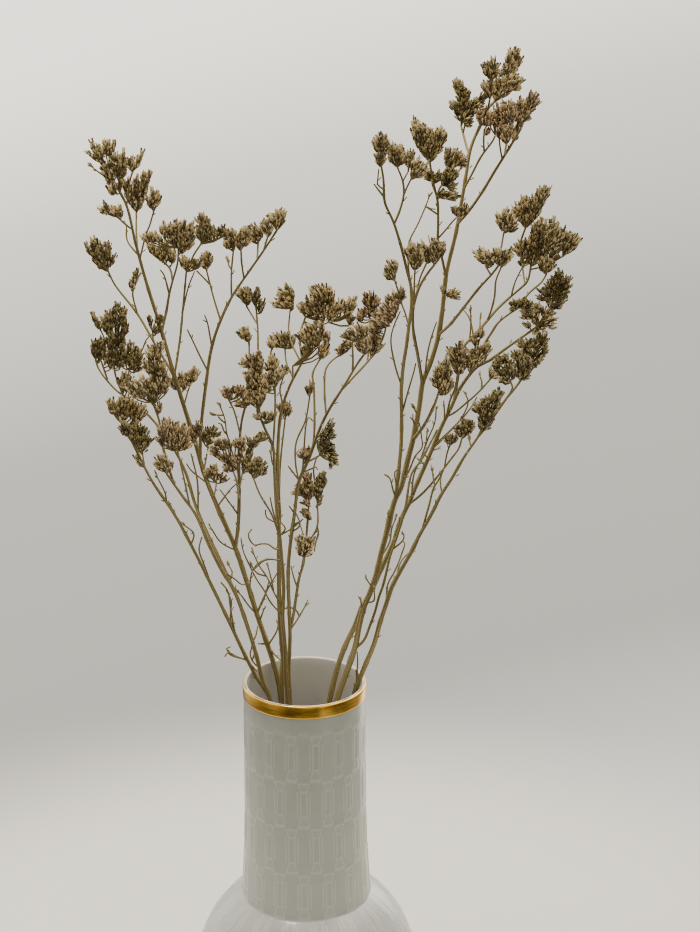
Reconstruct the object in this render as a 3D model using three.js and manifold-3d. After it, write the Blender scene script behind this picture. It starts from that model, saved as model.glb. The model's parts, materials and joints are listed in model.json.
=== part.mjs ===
// Dried statice in a porcelain vase, built in millimetres with +Z up and z = 0 at the vase's foot.
//
// The vase is one turned shell with a low relief. Each cut stem is one spray: its stem, branches
// and flower heads grew together, so they are fused into one solid. Every stem stands on the
// vase's floor, crosses the others inside the neck and leans out over the rim.

import * as THREE from 'three';
import { mergeVertices } from 'three/addons/utils/BufferGeometryUtils.js';
import Module from 'manifold-3d';

const wasm = await Module();
wasm.setup();

// Vase
const VASE_HEIGHT = 231;
const RIM_RADIUS = 34.1;
const LIP_ROUND = 0.9;
const BAND_HEIGHT = 7.4;
const BAND_STEP = 0.35;
const NECK_WAIST_RADIUS = 33.5;
const NECK_FOOT_RADIUS = 36.3;
const NECK_FOOT_HEIGHT = 102.6;
const BODY_RADIUS = 63.7;
const BODY_CENTRE_HEIGHT = 50.4;
const WALL = 2.2;
const FLOOR = 4;

// Relief: raised hourglass cells in staggered rows, as many round the vase as half its facets
const VASE_FACETS = 32;
const RELIEF_HEIGHT = 0.55;
const RELIEF_START = 214;
const NECK_ROWS = 4;
const BODY_ROWS = 5;
const BODY_ROWS_END_HEIGHT = 12;

// The sprays are laid out on an upright drawing sheet that stands through the rim's centre. The
// sheet leans back by SHEET_LEAN, square to a line of sight that looks slightly down at it, and
// each point also has a depth behind the vase's axis. The eye's place is given on the sheet.
const SHEET_LEAN = THREE.MathUtils.degToRad(17.8);
const EYE_DISTANCE = 1017.5;
const EYE_ACROSS = 25;
const EYE_UP = 118;

// Stems
const STEM_SIDES = 5;
const TWIG_SIDES = 3;
const STEM_THICKNESS = 1.7;
const TAPER_POWER = 2;
const FOOT_CLEARANCE = 0.3;
const STEM_BOW = 1.2;
const ROOT_SINK = 0.4;
const ROUTE_TOLERANCE = 0.6;

// Flower heads: spikes that fan from the end of a limb, each with a floret standing out on its sides.
// Places on a spike are shares of its length; thickness runs front to back, half on each side.
const HEAD_HALF_THICKNESS = 1.5;
const SPIKE_HALF_THICKNESS = 1.7;
const HIP_REACH = 1.3;
const VALLEY_SHARE = 0.3;
const RIDGE_SHARE = 0.45;
const NOTCH_SHARE = 0.6;
const NOTCH_WIDTH_SHARE = 0.4;
const FLORET_SHARE = 0.74;
const FLORET_REACH = 2.4;
const FLORET_DEPTH = 1.2;
const WEDGE_FILL = 0.85;
const SHORT_SPIKE = 6.5;
const MEDIUM_SPIKE = 11;
const SPREAD_SHARE = 0.36;
const SEED = 17;

const UP = new THREE.Vector3(0, 0, 1);

// ---------------------------------------------------------------------------------------------
// Solids

function toSolid(geometry) {
  const bare = geometry.clone();
  bare.deleteAttribute('normal');
  bare.deleteAttribute('uv');
  const merged = mergeVertices(bare, 1e-5);
  const triangles = [];
  for (let i = 0; i < merged.index.count; i += 3) {
    const [a, b, c] = [0, 1, 2].map((k) => merged.index.getX(i + k));
    if (a !== b && b !== c && c !== a) triangles.push(a, b, c);
  }
  return new wasm.Manifold(new wasm.Mesh({
    numProp: 3,
    vertProperties: Float32Array.from(merged.attributes.position.array),
    triVerts: Uint32Array.from(triangles),
  }));
}

function joinAll(solids) {
  let round = solids;
  while (round.length > 1) {
    const next = [];
    for (let i = 0; i < round.length; i += 2) {
      next.push(i + 1 < round.length ? round[i].add(round[i + 1]) : round[i]);
    }
    round = next;
  }
  return round[0];
}

// The largest piece of a joined solid: a pocket that the join seals is filled by leaving it out
function largestBody(solid) {
  return solid.decompose().reduce((best, part) => (part.volume() > best.volume() ? part : best));
}

function toMesh(name, solid, material) {
  const { vertProperties, triVerts } = solid.getMesh();
  const geometry = new THREE.BufferGeometry();
  geometry.setAttribute('position', new THREE.BufferAttribute(vertProperties, 3));
  geometry.setIndex(new THREE.BufferAttribute(triVerts, 1));
  geometry.computeVertexNormals();
  const mesh = new THREE.Mesh(geometry, material);
  mesh.name = name;
  return mesh;
}

// A round bar that follows a path, with a radius at each of its points. It is turned upright
// with one ring for each point of the path, and each ring is then carried to its point.
function roundBar(path, radii, sides) {
  const last = path.length - 1;
  const outline = [new THREE.Vector2(0, 0)];
  radii.forEach((radius, i) => outline.push(new THREE.Vector2(radius, i)));
  outline.push(new THREE.Vector2(0, last));
  const geometry = new THREE.LatheGeometry(outline, sides);

  const frames = [];
  let side = new THREE.Vector3(1, 0, 0);
  for (let i = 0; i <= last; i += 1) {
    const ahead = path[Math.min(i + 1, last)].clone().sub(path[Math.max(i - 1, 0)]).normalize();
    side = side.clone().addScaledVector(ahead, -side.dot(ahead)).normalize();
    frames.push({ side, across: new THREE.Vector3().crossVectors(side, ahead) });
  }

  const position = geometry.attributes.position;
  for (let k = 0; k < position.count; k += 1) {
    const ring = Math.round(position.getY(k));
    const { side: s, across } = frames[ring];
    const point = path[ring].clone();
    point.addScaledVector(s, position.getX(k)).addScaledVector(across, position.getZ(k));
    position.setXYZ(k, point.x, point.y, point.z);
  }
  return toSolid(geometry);
}

// ---------------------------------------------------------------------------------------------
// Vase

function neckRadius(height) {
  const t = (VASE_HEIGHT - height) / (VASE_HEIGHT - NECK_FOOT_HEIGHT);
  const waist = RIM_RADIUS - BAND_STEP - (RIM_RADIUS - BAND_STEP - NECK_WAIST_RADIUS) * Math.sin(Math.PI * t);
  return waist + (NECK_FOOT_RADIUS - RIM_RADIUS + BAND_STEP) * t ** 3;
}

function bodyRadius(height, shell) {
  return Math.sqrt((BODY_RADIUS - shell) ** 2 - (height - BODY_CENTRE_HEIGHT) ** 2);
}

// The relief's rings from the top down, two to a row: even steps down the neck, then even angles
// round the body. A ring with an odd count lies midway in its row.
function reliefRings() {
  const rings = [];
  for (let i = 0; i <= 2 * NECK_ROWS; i += 1) {
    const height = THREE.MathUtils.lerp(RELIEF_START, NECK_FOOT_HEIGHT, i / (2 * NECK_ROWS));
    rings.push([neckRadius(height), height]);
  }
  const shoulder = Math.acos((NECK_FOOT_HEIGHT - BODY_CENTRE_HEIGHT) / BODY_RADIUS);
  const skirt = Math.acos((BODY_ROWS_END_HEIGHT - BODY_CENTRE_HEIGHT) / BODY_RADIUS);
  for (let i = 1; i <= 2 * BODY_ROWS; i += 1) {
    const angle = THREE.MathUtils.lerp(shoulder, skirt, i / (2 * BODY_ROWS));
    rings.push([BODY_RADIUS * Math.sin(angle), BODY_CENTRE_HEIGHT + BODY_RADIUS * Math.cos(angle)]);
  }
  return rings;
}

function makeVase() {
  const outline = [];
  const add = (radius, height) => outline.push(new THREE.Vector2(radius, height));

  add(0, 0);
  add(bodyRadius(0, 0), 0);
  const firstRing = outline.length;
  const rings = reliefRings().reverse();
  rings.forEach(([radius, height]) => add(radius, height));
  const bandFoot = VASE_HEIGHT - BAND_HEIGHT;
  add(neckRadius(bandFoot), bandFoot);
  add(RIM_RADIUS, bandFoot + BAND_STEP);
  add(RIM_RADIUS, VASE_HEIGHT - LIP_ROUND);
  add(RIM_RADIUS - LIP_ROUND, VASE_HEIGHT);
  add(RIM_RADIUS - WALL + LIP_ROUND / 2, VASE_HEIGHT);
  add(RIM_RADIUS - WALL, VASE_HEIGHT - LIP_ROUND);

  // Inside, from the neck down over the hollow body to the floor
  const insideSteps = 2;
  for (let i = 1; i <= insideSteps; i += 1) {
    const height = THREE.MathUtils.lerp(VASE_HEIGHT - BAND_HEIGHT, NECK_FOOT_HEIGHT, i / insideSteps);
    add(neckRadius(height) - WALL, height);
  }
  const shoulder = Math.acos((NECK_FOOT_HEIGHT - WALL - BODY_CENTRE_HEIGHT) / (BODY_RADIUS - WALL));
  const floorAngle = Math.acos((FLOOR - BODY_CENTRE_HEIGHT) / (BODY_RADIUS - WALL));
  const bodySteps = 6;
  for (let i = 0; i <= bodySteps; i += 1) {
    const height = BODY_CENTRE_HEIGHT
      + (BODY_RADIUS - WALL) * Math.cos(THREE.MathUtils.lerp(shoulder, floorAngle, i / bodySteps));
    add(bodyRadius(height, WALL), height);
  }
  add(0, FLOOR);

  const geometry = new THREE.LatheGeometry(outline, VASE_FACETS);
  const position = geometry.attributes.position;
  for (let k = 0; k < position.count; k += 1) {
    const column = Math.floor(k / outline.length) % VASE_FACETS;
    const ring = (k % outline.length) - firstRing;
    const midRow = ring > 0 && ring < rings.length && ring % 2 === 1;
    // A row's middle ring is raised on every second facet edge, and the next row on the others
    if (midRow && (column + (ring - 1) / 2) % 2 === 0) {
      const [x, z] = [position.getX(k), position.getZ(k)];
      const out = 1 + RELIEF_HEIGHT / Math.hypot(x, z);
      position.setXYZ(k, x * out, position.getY(k), z * out);
    }
  }
  geometry.rotateX(Math.PI / 2);
  return toSolid(geometry);
}

// ---------------------------------------------------------------------------------------------
// Sprays

// A point of the drawing sheet, at a depth behind the vase's axis, as a place in space
function place(across, up, depth) {
  const sin = Math.sin(SHEET_LEAN);
  const cos = Math.cos(SHEET_LEAN);
  const reach = EYE_DISTANCE * cos - EYE_UP * sin;
  const t = (depth + reach) / (up * sin + reach);
  return new THREE.Vector3(
    EYE_ACROSS + (across - EYE_ACROSS) * t,
    depth,
    VASE_HEIGHT + EYE_UP * cos + EYE_DISTANCE * sin + t * ((up - EYE_UP) * cos - EYE_DISTANCE * sin),
  );
}

// A repeatable draw between 0 and 1 for the pair of counts that names a spike or a floret
function draw(i, j) {
  const wave = Math.sin((i + SEED) * 12.9898 + (j + SEED) * 78.233) * 43758.5453;
  return wave - Math.floor(wave);
}

function pairs(numbers) {
  const points = [];
  for (let i = 0; i < numbers.length; i += 2) points.push([numbers[i], numbers[i + 1]]);
  return points;
}

const sprays = [];

// A cut stem: its name, where its foot stands on the floor, and its depth where it leaves the rim
function spray(name, foot, rimDepth) {
  sprays.push({ name, foot, rimDepth, limbs: new Map() });
}

// A stem or branch of the spray begun last: the limb that it grows from, its thickness at each
// end, the depth that it reaches, its route on the sheet, and the tips of the spikes at its end
function limb(name, parent, thick, thin, depth, route, tips = []) {
  const { limbs } = sprays[sprays.length - 1];
  limbs.set(name, { parent, thick, thin, depth, route: pairs(route), tips: pairs(tips) });
}

spray('spray_outer_left', [22, 14], 12);
limb('stem', '', 2.2, 1.1, 0, [-19, -10, -26.5, 2, -33, 14.5, -42, 33.5, -50, 50, -60, 70, -71, 90.5,
  -84, 110, -92, 125.5, -100, 141], [-109, 150, -105, 156, -99, 157, -93, 153, -87, 147]);
limb('inner head', 'stem', 1, 0.9, -12, [-84, 110, -88, 118, -89, 124],
  [-101, 133, -96, 141, -90, 142, -85, 138, -83, 130]);
limb('bare fork', 'stem', 1.1, 0.9, -4, [-37.5, 25, -40.5, 38, -42.4, 49.5, -46, 54]);
limb('bare rise', 'stem', 1, 0.9, -2, [-51.5, 53, -55, 63, -58, 72, -56.5, 79]);

spray('spray_inner_left', [18, 3], 3);
limb('stem', '', 2.5, 1.2, -28, [-19, -10, -23, 0, -25.5, 10, -30, 25.5, -38.5, 49, -46, 61.5,
  -52, 73.5, -60, 91.5, -67.5, 102, -76, 114], [-84, 119, -82, 124, -78, 124.5, -73, 121]);
limb('front head', 'stem', 1.1, 0.9, -40, [-62.5, 96, -67.2, 115, -70, 127],
  [-80, 134, -76, 142, -70, 145, -64, 142, -60, 135]);
limb('golden head', 'stem', 1.4, 1.1, -18, [-72, 108, -75, 118, -77.5, 127, -80, 143, -83.5, 153],
  [-92, 165, -89, 174, -85, 183, -79, 184, -74.5, 171, -76, 161]);
limb('back stem', 'stem', 2, 1, 24, [-38.5, 49, -46.5, 66.5, -53.5, 81, -60, 96.5, -66, 116,
  -76, 134, -90, 150, -100, 157]);
limb('back outer', 'back stem', 1, 0.9, 34, [-100, 157, -104, 160, -113.5, 172, -116, 182],
  [-118.5, 195, -116.5, 201.5, -112, 200]);
limb('back top', 'back stem', 1, 0.9, 22, [-100, 157, -104, 168, -105.5, 180],
  [-111, 198, -108, 203, -103.5, 207, -99.5, 205, -97, 194]);
limb('back side', 'back outer', 1, 0.9, 26, [-109, 165, -112, 176],
  [-117, 184, -113.5, 189, -108, 186]);
limb('back right', 'back stem', 1, 0.9, 14, [-100, 157, -98, 165, -96, 172],
  [-98.5, 182, -94, 184, -89.5, 180]);

spray('spray_tall_left', [14, 24], 22);
limb('stem', '', 3.1, 1.2, 40, [-13, -10, -14.5, 0, -17.5, 11, -21.5, 23, -26, 36, -31, 52, -38, 73,
  -47, 93.5, -54.5, 112, -60.5, 132.5, -66.5, 151.5, -72.5, 171, -79, 193.5, -87, 219, -93, 241,
  -98, 261.5, -104.5, 274, -107, 281], [-121, 290, -117, 296, -112, 297.5, -107, 296, -103, 291]);
limb('top right', 'stem', 1, 0.9, 46, [-101.5, 268, -101.5, 279], [-106, 288, -103, 291.5, -98, 290]);
limb('top bud', 'stem', 1, 0.9, 34, [-98, 261, -95.5, 277, -93.5, 282],
  [-97, 287, -94.5, 288.5, -90, 291]);
limb('top spur', 'stem', 1, 0.9, 34, [-104, 273, -106, 268], [-109, 270.5, -104, 272]);
limb('upper right', 'stem', 1.1, 0.9, 52, [-92, 237, -92.5, 247, -92.5, 257.5],
  [-97, 272, -92.5, 279, -87.5, 278, -83.5, 280.5, -86, 268]);
limb('upper far right', 'stem', 1, 0.9, 30, [-90.5, 232, -87, 246, -85.3, 250, -83, 258],
  [-87, 267, -84, 270, -80, 268]);
limb('upper left comb', 'stem', 1, 0.9, 28, [-95, 248, -98, 250.5, -103, 255],
  [-105, 262, -109, 261, -113.5, 256]);
limb('left arm', 'stem', 1.5, 1, 58, [-70.5, 164, -75, 173, -81, 183, -91.8, 201.5, -104.5, 218,
  -108, 225], [-121, 238, -118, 243.5, -112, 242, -106.5, 241, -103, 234]);
limb('left arm bud', 'left arm', 1, 0.9, 48, [-91.8, 201.5, -94.5, 213, -92.5, 219],
  [-93.5, 226, -91, 226.5]);
limb('left arm sprig', 'left arm', 1, 0.9, 34, [-83, 187, -83.5, 192],
  [-86, 200, -82.5, 196, -79, 204, -76.5, 201]);
limb('mid arm', 'stem', 1.6, 1.2, 16, [-77.8, 192, -76, 203, -74.3, 213, -72.5, 220]);
limb('mid arm left', 'mid arm', 1.1, 0.9, 22, [-72.5, 219.5, -74, 226.5, -83, 234],
  [-90, 238, -88.5, 244, -84, 247.5, -80, 249]);
limb('mid arm right', 'mid arm', 1.1, 0.9, 8, [-72.5, 219.5, -69.8, 230, -69.5, 238],
  [-79, 250, -74, 252.5, -69, 253, -63, 252, -60.5, 243]);
limb('inner arm', 'stem', 1.3, 1, 0, [-71, 168, -68.6, 187, -66.4, 210, -65, 225],
  [-69, 231, -65, 233.5, -60, 230]);
limb('inner arm top', 'inner arm', 1, 0.9, -8, [-65, 224, -61, 234, -57, 240],
  [-60, 247, -57, 255.5, -52.5, 250, -48, 249.5, -45, 246]);
limb('low bud a', 'stem', 1, 0.9, 12, [-66.5, 151, -63.5, 161, -61.5, 165],
  [-67, 171, -63, 173.5, -59, 170]);
limb('low bud b', 'stem', 1, 0.9, 42, [-68, 157, -70.5, 162], [-75, 168, -71, 172.5, -67, 169]);
limb('low bud c', 'stem', 1, 0.9, 12, [-59.5, 129, -60, 134], [-63, 139, -59.5, 142, -56.5, 139]);
limb('low bud d', 'stem', 1, 0.9, 12, [-55.5, 115, -54, 123, -53, 128],
  [-57, 136, -53, 139.5, -48, 136]);
limb('low bud e', 'stem', 1, 0.9, 12, [-50, 101, -49, 105, -48.5, 109],
  [-54, 115, -51, 118.5, -46, 116]);
limb('right arm', 'stem', 1.9, 1.1, -12, [-57.5, 122, -57, 138, -54.2, 163, -51, 183.5, -46, 198.5,
  -40, 211, -33, 221.5, -22.5, 236.5, -15, 248], [-19, 256, -15.5, 258, -13, 259, -10.5, 255]);
limb('right arm a', 'right arm', 1, 0.9, -20, [-22.5, 236.5, -20, 245],
  [-23.5, 252, -20.5, 254.5, -18, 250]);
limb('right arm b', 'right arm', 1, 0.9, 0, [-26, 231.5, -25.5, 241],
  [-30, 248, -26.5, 251, -23, 248]);
limb('right arm c', 'right arm', 1, 0.9, -16, [-33.2, 221, -34.5, 229, -35, 237],
  [-35.5, 246, -32, 249.5, -29, 245]);
limb('right arm d', 'right arm', 1, 0.9, 4, [-40.2, 210.5, -40.2, 225, -39.2, 236],
  [-44, 246, -40.5, 249, -36.5, 247]);
limb('right arm e', 'right arm', 1.1, 0.9, 14, [-46.2, 198, -50, 210.5, -54, 226],
  [-57, 234, -54, 237, -50.5, 233]);
limb('front arm', 'stem', 2.3, 1.2, 4, [-38, 73, -36.5, 85, -36, 101, -36, 127, -34.5, 143, -32.5, 151],
  [-39, 158, -38.5, 167, -34.5, 176, -31.5, 165]);
limb('front arm left', 'front arm', 1, 0.9, -8, [-35.5, 135, -39, 149, -41.5, 154],
  [-46.5, 158, -42.5, 162, -37, 163]);
limb('front low left', 'front arm', 1.1, 1, -16, [-36, 100, -37.5, 110, -40, 117],
  [-53, 127, -49.5, 133.5, -43.5, 132, -49.5, 120, -38, 130]);
limb('front low right', 'front arm', 1.1, 1, -2, [-36, 105, -34, 115],
  [-31, 134, -27, 132, -21.5, 134.5, -25, 121]);

spray('spray_front_centre', [-6, 9], 8.5);
limb('stem', '', 2.2, 1.2, -28, [-9.5, -10, -10.5, 5, -10.8, 20, -12, 35, -11.5, 50, -12.3, 64,
  -13.5, 78, -15.5, 95, -16.5, 115, -17.5, 129, -22, 139, -26, 149],
[-31, 170, -28.5, 181, -23.5, 180, -20.5, 170, -23.5, 160, -27, 169]);
limb('right head', 'stem', 1.1, 0.9, -40, [-17.2, 127, -16.2, 149, -16.2, 161],
  [-21, 171, -18, 178.5, -14, 176, -12, 168]);
limb('right top', 'right head', 1, 0.9, -36, [-16.2, 158, -19, 170, -18.5, 181],
  [-21, 187.5, -17, 190.5, -12.5, 188]);
limb('left top', 'stem', 1, 0.9, -16, [-26, 148, -30, 168, -30.5, 184],
  [-37.5, 190, -34, 193.5, -30.5, 192]);
limb('tall twig', 'stem', 1.1, 0.9, -8, [-24.5, 146, -25.5, 172, -25.7, 193, -26.5, 203],
  [-29.5, 213, -26.5, 216, -23.5, 210]);
limb('tall twig left', 'tall twig', 1, 0.9, 0, [-26, 196, -32, 206],
  [-39, 212, -35.5, 216.5, -30.5, 215]);
limb('low head', 'stem', 1.1, 0.9, -36, [-13.5, 78, -17.9, 91, -24.7, 102.7, -28, 111],
  [-32, 121, -28, 124.5, -24, 122, -20.5, 118]);

spray('spray_centre', [-11, 17], 15);
limb('stem', '', 2.7, 1.3, 10, [-12.5, -10, -12.5, 0, -12, 12, -13.5, 32, -14, 52, -14, 75, -14, 93,
  -14.8, 120, -13, 147, -8.8, 160.5, -3, 172, 0, 177], [-3.5, 185, 0, 192, 3.5, 196, 7, 193, 9, 187]);
limb('low head', 'stem', 1.1, 0.9, 20, [-14, 93, -13.4, 118, -11.5, 137, -10.5, 145],
  [-15, 151, -11, 154, -7.5, 151]);
limb('side head', 'stem', 1, 0.9, -2, [-12, 151, -13.5, 160, -12, 166],
  [-15, 173, -11.5, 175, -8, 172]);
limb('mid head', 'stem', 1, 0.9, 2, [-6.5, 165, -6.5, 173], [-10, 182, -6, 186, -2, 183]);
limb('mid bud', 'stem', 1, 0.9, 24, [-6.3, 166, -10, 175, -10.8, 183],
  [-14, 189, -11, 191, -8, 188]);
limb('upper left', 'stem', 1.1, 0.9, 30, [-1.5, 174, -8.5, 190, -8, 203],
  [-18, 210, -14, 216.5, -10, 217.5, -5.5, 213]);
limb('upper right', 'stem', 1.2, 1, 22, [-1, 175, -2.5, 190, 0.5, 200],
  [-4.5, 209, -1, 216, 5, 218.5, 11, 217, 16, 211, 13, 204]);
limb('upper far right', 'upper right', 1, 0.9, 14, [-2.2, 189, 6, 194, 13, 197],
  [17, 207, 21.5, 209.5, 27.5, 204, 25, 198]);

spray('spray_brown', [2, 2], -1);
limb('stem', '', 2.4, 1.1, -32, [-8, -10, -8.7, 5, -8, 25, -8.5, 40, -9, 61, -7.5, 78, -5.5, 92,
  -3, 109.5, 2.4, 122, 9, 140, 13.5, 149, 22.2, 162.8, 29.4, 174.8, 32.5, 179],
[27, 184, 31.5, 188, 37, 188, 42, 185]);
limb('upper fork', 'stem', 1.3, 1, -20, [20.5, 160, 28.6, 168.8, 34.6, 175.2, 40.5, 182],
  [35, 192, 39, 199, 44, 198, 48, 193]);
limb('upper top', 'upper fork', 1, 0.9, -10, [34.6, 175, 36, 190, 35.8, 200],
  [29.5, 203, 33, 212, 37, 213.5, 41, 208]);
limb('upper right', 'upper fork', 1, 0.9, -26, [40, 181, 44, 191, 45, 197],
  [41, 206, 45, 211, 49.5, 206]);
limb('golden head', 'stem', 1, 0.9, -42, [26.7, 170, 26.6, 178, 26.2, 186],
  [20.5, 191, 24.5, 196, 29, 196, 33, 192]);
limb('left bud', 'stem', 1, 0.9, -20, [-1.5, 112, -0.8, 119], [-3.5, 125, -1, 128, 2.5, 126]);
limb('dark head', 'stem', 1, 0.9, -30, [1.5, 120, 8.5, 124],
  [7, 137, 11, 140.5, 15, 136, 14, 128]);
limb('centre twig', 'stem', 1.2, 1, -8, [2, 121, 4.9, 131, 5.2, 160, 4.5, 169, 8, 176],
  [8, 184, 11, 187, 14, 181]);
limb('right twig', 'stem', 1.1, 0.9, -16, [11.5, 146, 11, 160, 12, 172, 17, 177.5, 20, 179],
  [19.5, 184, 23.5, 186, 26.5, 182]);
limb('loop twig', 'stem', 1, 0.9, -10, [-3, 109, -5, 120, -4.6, 131, 0.5, 143, 2.8, 156],
  [1, 161, 4, 164]);
limb('low arm', 'stem', 1.6, 1, -14, [-8, 27, -6.3, 35, -3, 56, -0.5, 65, 1, 79, 2, 92, 2.4, 99],
  [-5.5, 106, -2.5, 112, 2, 113.5, 5, 107]);
limb('low arm tuft', 'low arm', 1, 0.9, -20, [-2, 60, -0.5, 68],
  [-5, 73, -3, 79.5, 2.5, 80, 5.5, 74]);
limb('low arm right', 'low arm', 1, 0.9, -26, [0.5, 74, 6.8, 84, 7, 99],
  [5.5, 107, 8.5, 114, 11.5, 109]);

spray('spray_tall_right', [-24, -18], -6);
limb('stem', '', 3.3, 1.3, 30, [18, -10, 21.4, 0, 25, 10, 28.2, 20, 30, 30, 32.5, 40, 36.7, 50,
  39.9, 60, 42.1, 70, 44.8, 80, 47.1, 90, 50, 100, 53, 106, 56.4, 120, 60.2, 135, 63, 150,
  65.2, 165, 68.6, 173, 73, 187, 75, 198, 76.5, 210, 77.7, 222, 80, 233, 83, 245, 86.5, 264,
  89, 279, 90.9, 290.7, 93, 297.3, 96.1, 304, 100.5, 314, 104, 318, 108.5, 321],
[105, 331, 108, 332, 111, 332, 113, 326]);
limb('crown', 'stem', 1.1, 1, 40, [104, 318, 107, 326, 109, 332],
  [112, 341, 113.5, 346.5, 117, 347.5, 119.5, 342, 116, 336]);
limb('crown left', 'stem', 1.1, 0.9, 18, [101, 314.5, 102, 321, 102, 325],
  [97.5, 328, 101, 330, 97.5, 338, 102.5, 339, 107, 340]);
limb('crown right', 'stem', 1, 0.9, 20, [106, 319.5, 111.3, 322, 114.5, 325],
  [113.5, 332, 117, 333.5, 120.5, 330]);
limb('left head', 'stem', 1.4, 1.1, 44, [90.7, 289, 88.9, 294.7, 86.1, 305],
  [80, 316, 83, 329.5, 86, 329, 90, 325, 92, 317, 90, 309]);
limb('left head arm', 'left head', 1, 0.9, 36, [87, 301, 89, 308, 92, 313],
  [95, 319.5, 99.5, 322.5, 97.5, 316]);
limb('middle head', 'stem', 1, 0.9, 26, [94, 299.5, 96, 305], [93, 311, 96.5, 315, 100, 313]);
limb('thin stem', 'stem', 1.2, 0.9, 8, [87.7, 270, 92.1, 278.7, 97.3, 288.5, 103.3, 296.5, 105, 300],
  [101, 310, 104.5, 316, 108, 317.5, 110.5, 313]);
limb('thin stem left', 'thin stem', 1, 0.9, 2, [98.8, 290.5, 98.5, 297.3, 98.9, 303],
  [96, 309, 99, 313.5, 102.5, 309]);
limb('long arm', 'stem', 1.6, 1.1, -6, [84.8, 251, 90.1, 258, 97.5, 268.4, 104.7, 280.3, 108.9, 287,
  114.5, 296, 118.9, 303.3, 120, 306], [122, 319, 126, 323.5, 128.5, 319, 126, 312, 124, 307]);
limb('long arm left', 'long arm', 1, 0.9, -2, [108.9, 286.5, 107.5, 293.7, 107, 299],
  [106.5, 308, 110, 315, 113.5, 318.5, 112.5, 307]);
limb('long arm low', 'long arm', 1, 0.9, -14, [110, 289, 111, 295],
  [108, 302.5, 112, 305, 116.5, 303, 117.5, 298]);
limb('long arm mid', 'long arm', 1, 0.9, 8, [114.5, 295.5, 115.8, 303],
  [115, 313, 118.5, 319.5, 121.5, 321, 120, 311]);
limb('side arm', 'stem', 1.6, 1.1, -14, [73.8, 190, 79.8, 195.6, 86.9, 204.3, 95.7, 215.5,
  103.7, 224.3, 106.9, 228.5], [103.5, 236, 107, 237, 111, 237, 115, 238.5]);
limb('side arm left', 'side arm', 1, 0.9, -18, [102.5, 223, 99.5, 228],
  [93.5, 235, 96, 237, 100, 236]);
limb('side arm top', 'side arm', 1.1, 0.9, -8, [106.5, 228, 108.5, 240, 109.5, 246],
  [105.3, 256, 110, 258.5, 113.5, 256, 116.5, 251]);
limb('node bud', 'stem', 1, 0.9, 2, [76.8, 212.5, 80, 211], [82.5, 214, 85.5, 213, 84.5, 209]);
limb('collar bud', 'stem', 1, 0.9, 6, [84.6, 250.5, 87, 257], [86, 261.5, 89.5, 262]);
limb('middle arm', 'stem', 1.5, 1.1, -2, [78, 222, 75.2, 234.2, 73.3, 242, 73.5, 250, 73.1, 264,
  71, 273, 69.7, 280, 68.9, 285], [59, 306, 61.5, 308.5, 65.5, 305.5, 69.5, 303.5, 76, 303,
  77.5, 298, 74.5, 292]);
limb('middle arm left', 'middle arm', 1, 0.9, 4, [72.5, 267, 70, 273.5],
  [65.5, 278, 68, 280, 71, 279]);
limb('middle arm right', 'middle arm', 1.1, 0.9, -12, [72.8, 265.5, 74.5, 271, 77.5, 274.5],
  [74, 279, 79, 284, 84, 282, 82, 272]);
limb('middle arm top', 'middle arm right', 1, 0.9, -4, [77, 274, 79.5, 281],
  [77.8, 291, 80.5, 292.5, 84, 291.5, 88.5, 288]);
limb('middle arm spike', 'middle arm', 1, 0.9, 2, [73.1, 264.5, 75, 267],
  [80, 268.5, 83.5, 267, 82.5, 264]);
limb('inner stem', 'stem', 2.1, 1.1, -20, [49.5, 98.5, 51.2, 110, 52.2, 120, 53.1, 130, 53.4, 145,
  53.2, 160, 54.3, 173, 56.1, 184.8, 57.5, 196, 58.8, 206, 58.6, 216, 55.8, 227.8, 52.6, 240.6,
  48.8, 252.4, 44.2, 262.8, 43.6, 270, 43.4, 275.5, 42.2, 283],
[38, 297, 41, 300, 44, 300, 46.5, 295, 41, 291]);
limb('inner right', 'inner stem', 1.2, 0.9, -12, [49.3, 251, 52.6, 259.2, 54.6, 267.6, 54, 274.7, 51, 282.5],
  [45.5, 290, 47.5, 295, 51.5, 294.5, 54.8, 291]);
limb('inner far right', 'inner right', 1, 0.9, -20, [54.3, 266, 56.2, 271, 58.4, 275.5],
  [59.5, 283, 62, 287.5, 66, 284.5, 67.5, 281]);
limb('inner bud', 'inner right', 1, 0.9, -4, [54.2, 274.5, 57, 280], [55.8, 288.5, 58.5, 291]);
limb('cross stem', 'stem', 1.9, 1.1, -8, [64.9, 163, 62.1, 180, 59.8, 192.8, 59.8, 204, 62.2, 214,
  66, 221.5, 74, 232], [69.5, 241, 73, 243, 76.5, 240, 76, 235]);
limb('cross mid', 'cross stem', 1, 0.9, 2, [61, 209, 63.4, 221, 67, 229.5],
  [64, 240, 67, 239, 70, 236]);
limb('cross left', 'cross stem', 1, 0.9, -16, [60.3, 206, 60.4, 219, 60.8, 226],
  [55.5, 235, 57.5, 240.5, 61, 240, 65, 237, 66, 231]);
limb('crossing twig', 'inner stem', 1, 0.9, -26, [57.3, 195, 55.1, 202.7, 53, 208],
  [49.5, 213, 54, 215]);
limb('left tuft', 'crossing twig', 1, 0.9, -32, [54, 205.5, 51.4, 214.5, 49.6, 220],
  [44.5, 224, 44.5, 229, 47.5, 231.5, 50, 229]);
limb('low right arm', 'stem', 1.9, 1.2, -20, [59.7, 132, 65.7, 140.4, 71.7, 152.4, 74.2, 160],
  [69, 166, 71.5, 174, 76, 180.5, 80.5, 178, 81, 169, 76, 170]);
limb('front strand', 'stem', 1.6, 1, -8, [28.2, 17, 32.5, 22, 35.9, 30, 38.9, 38.4, 40.9, 45.9, 43.3, 52.7,
  47, 68, 51, 80, 55.5, 96, 59, 114, 64, 121, 73, 138]);

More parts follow.
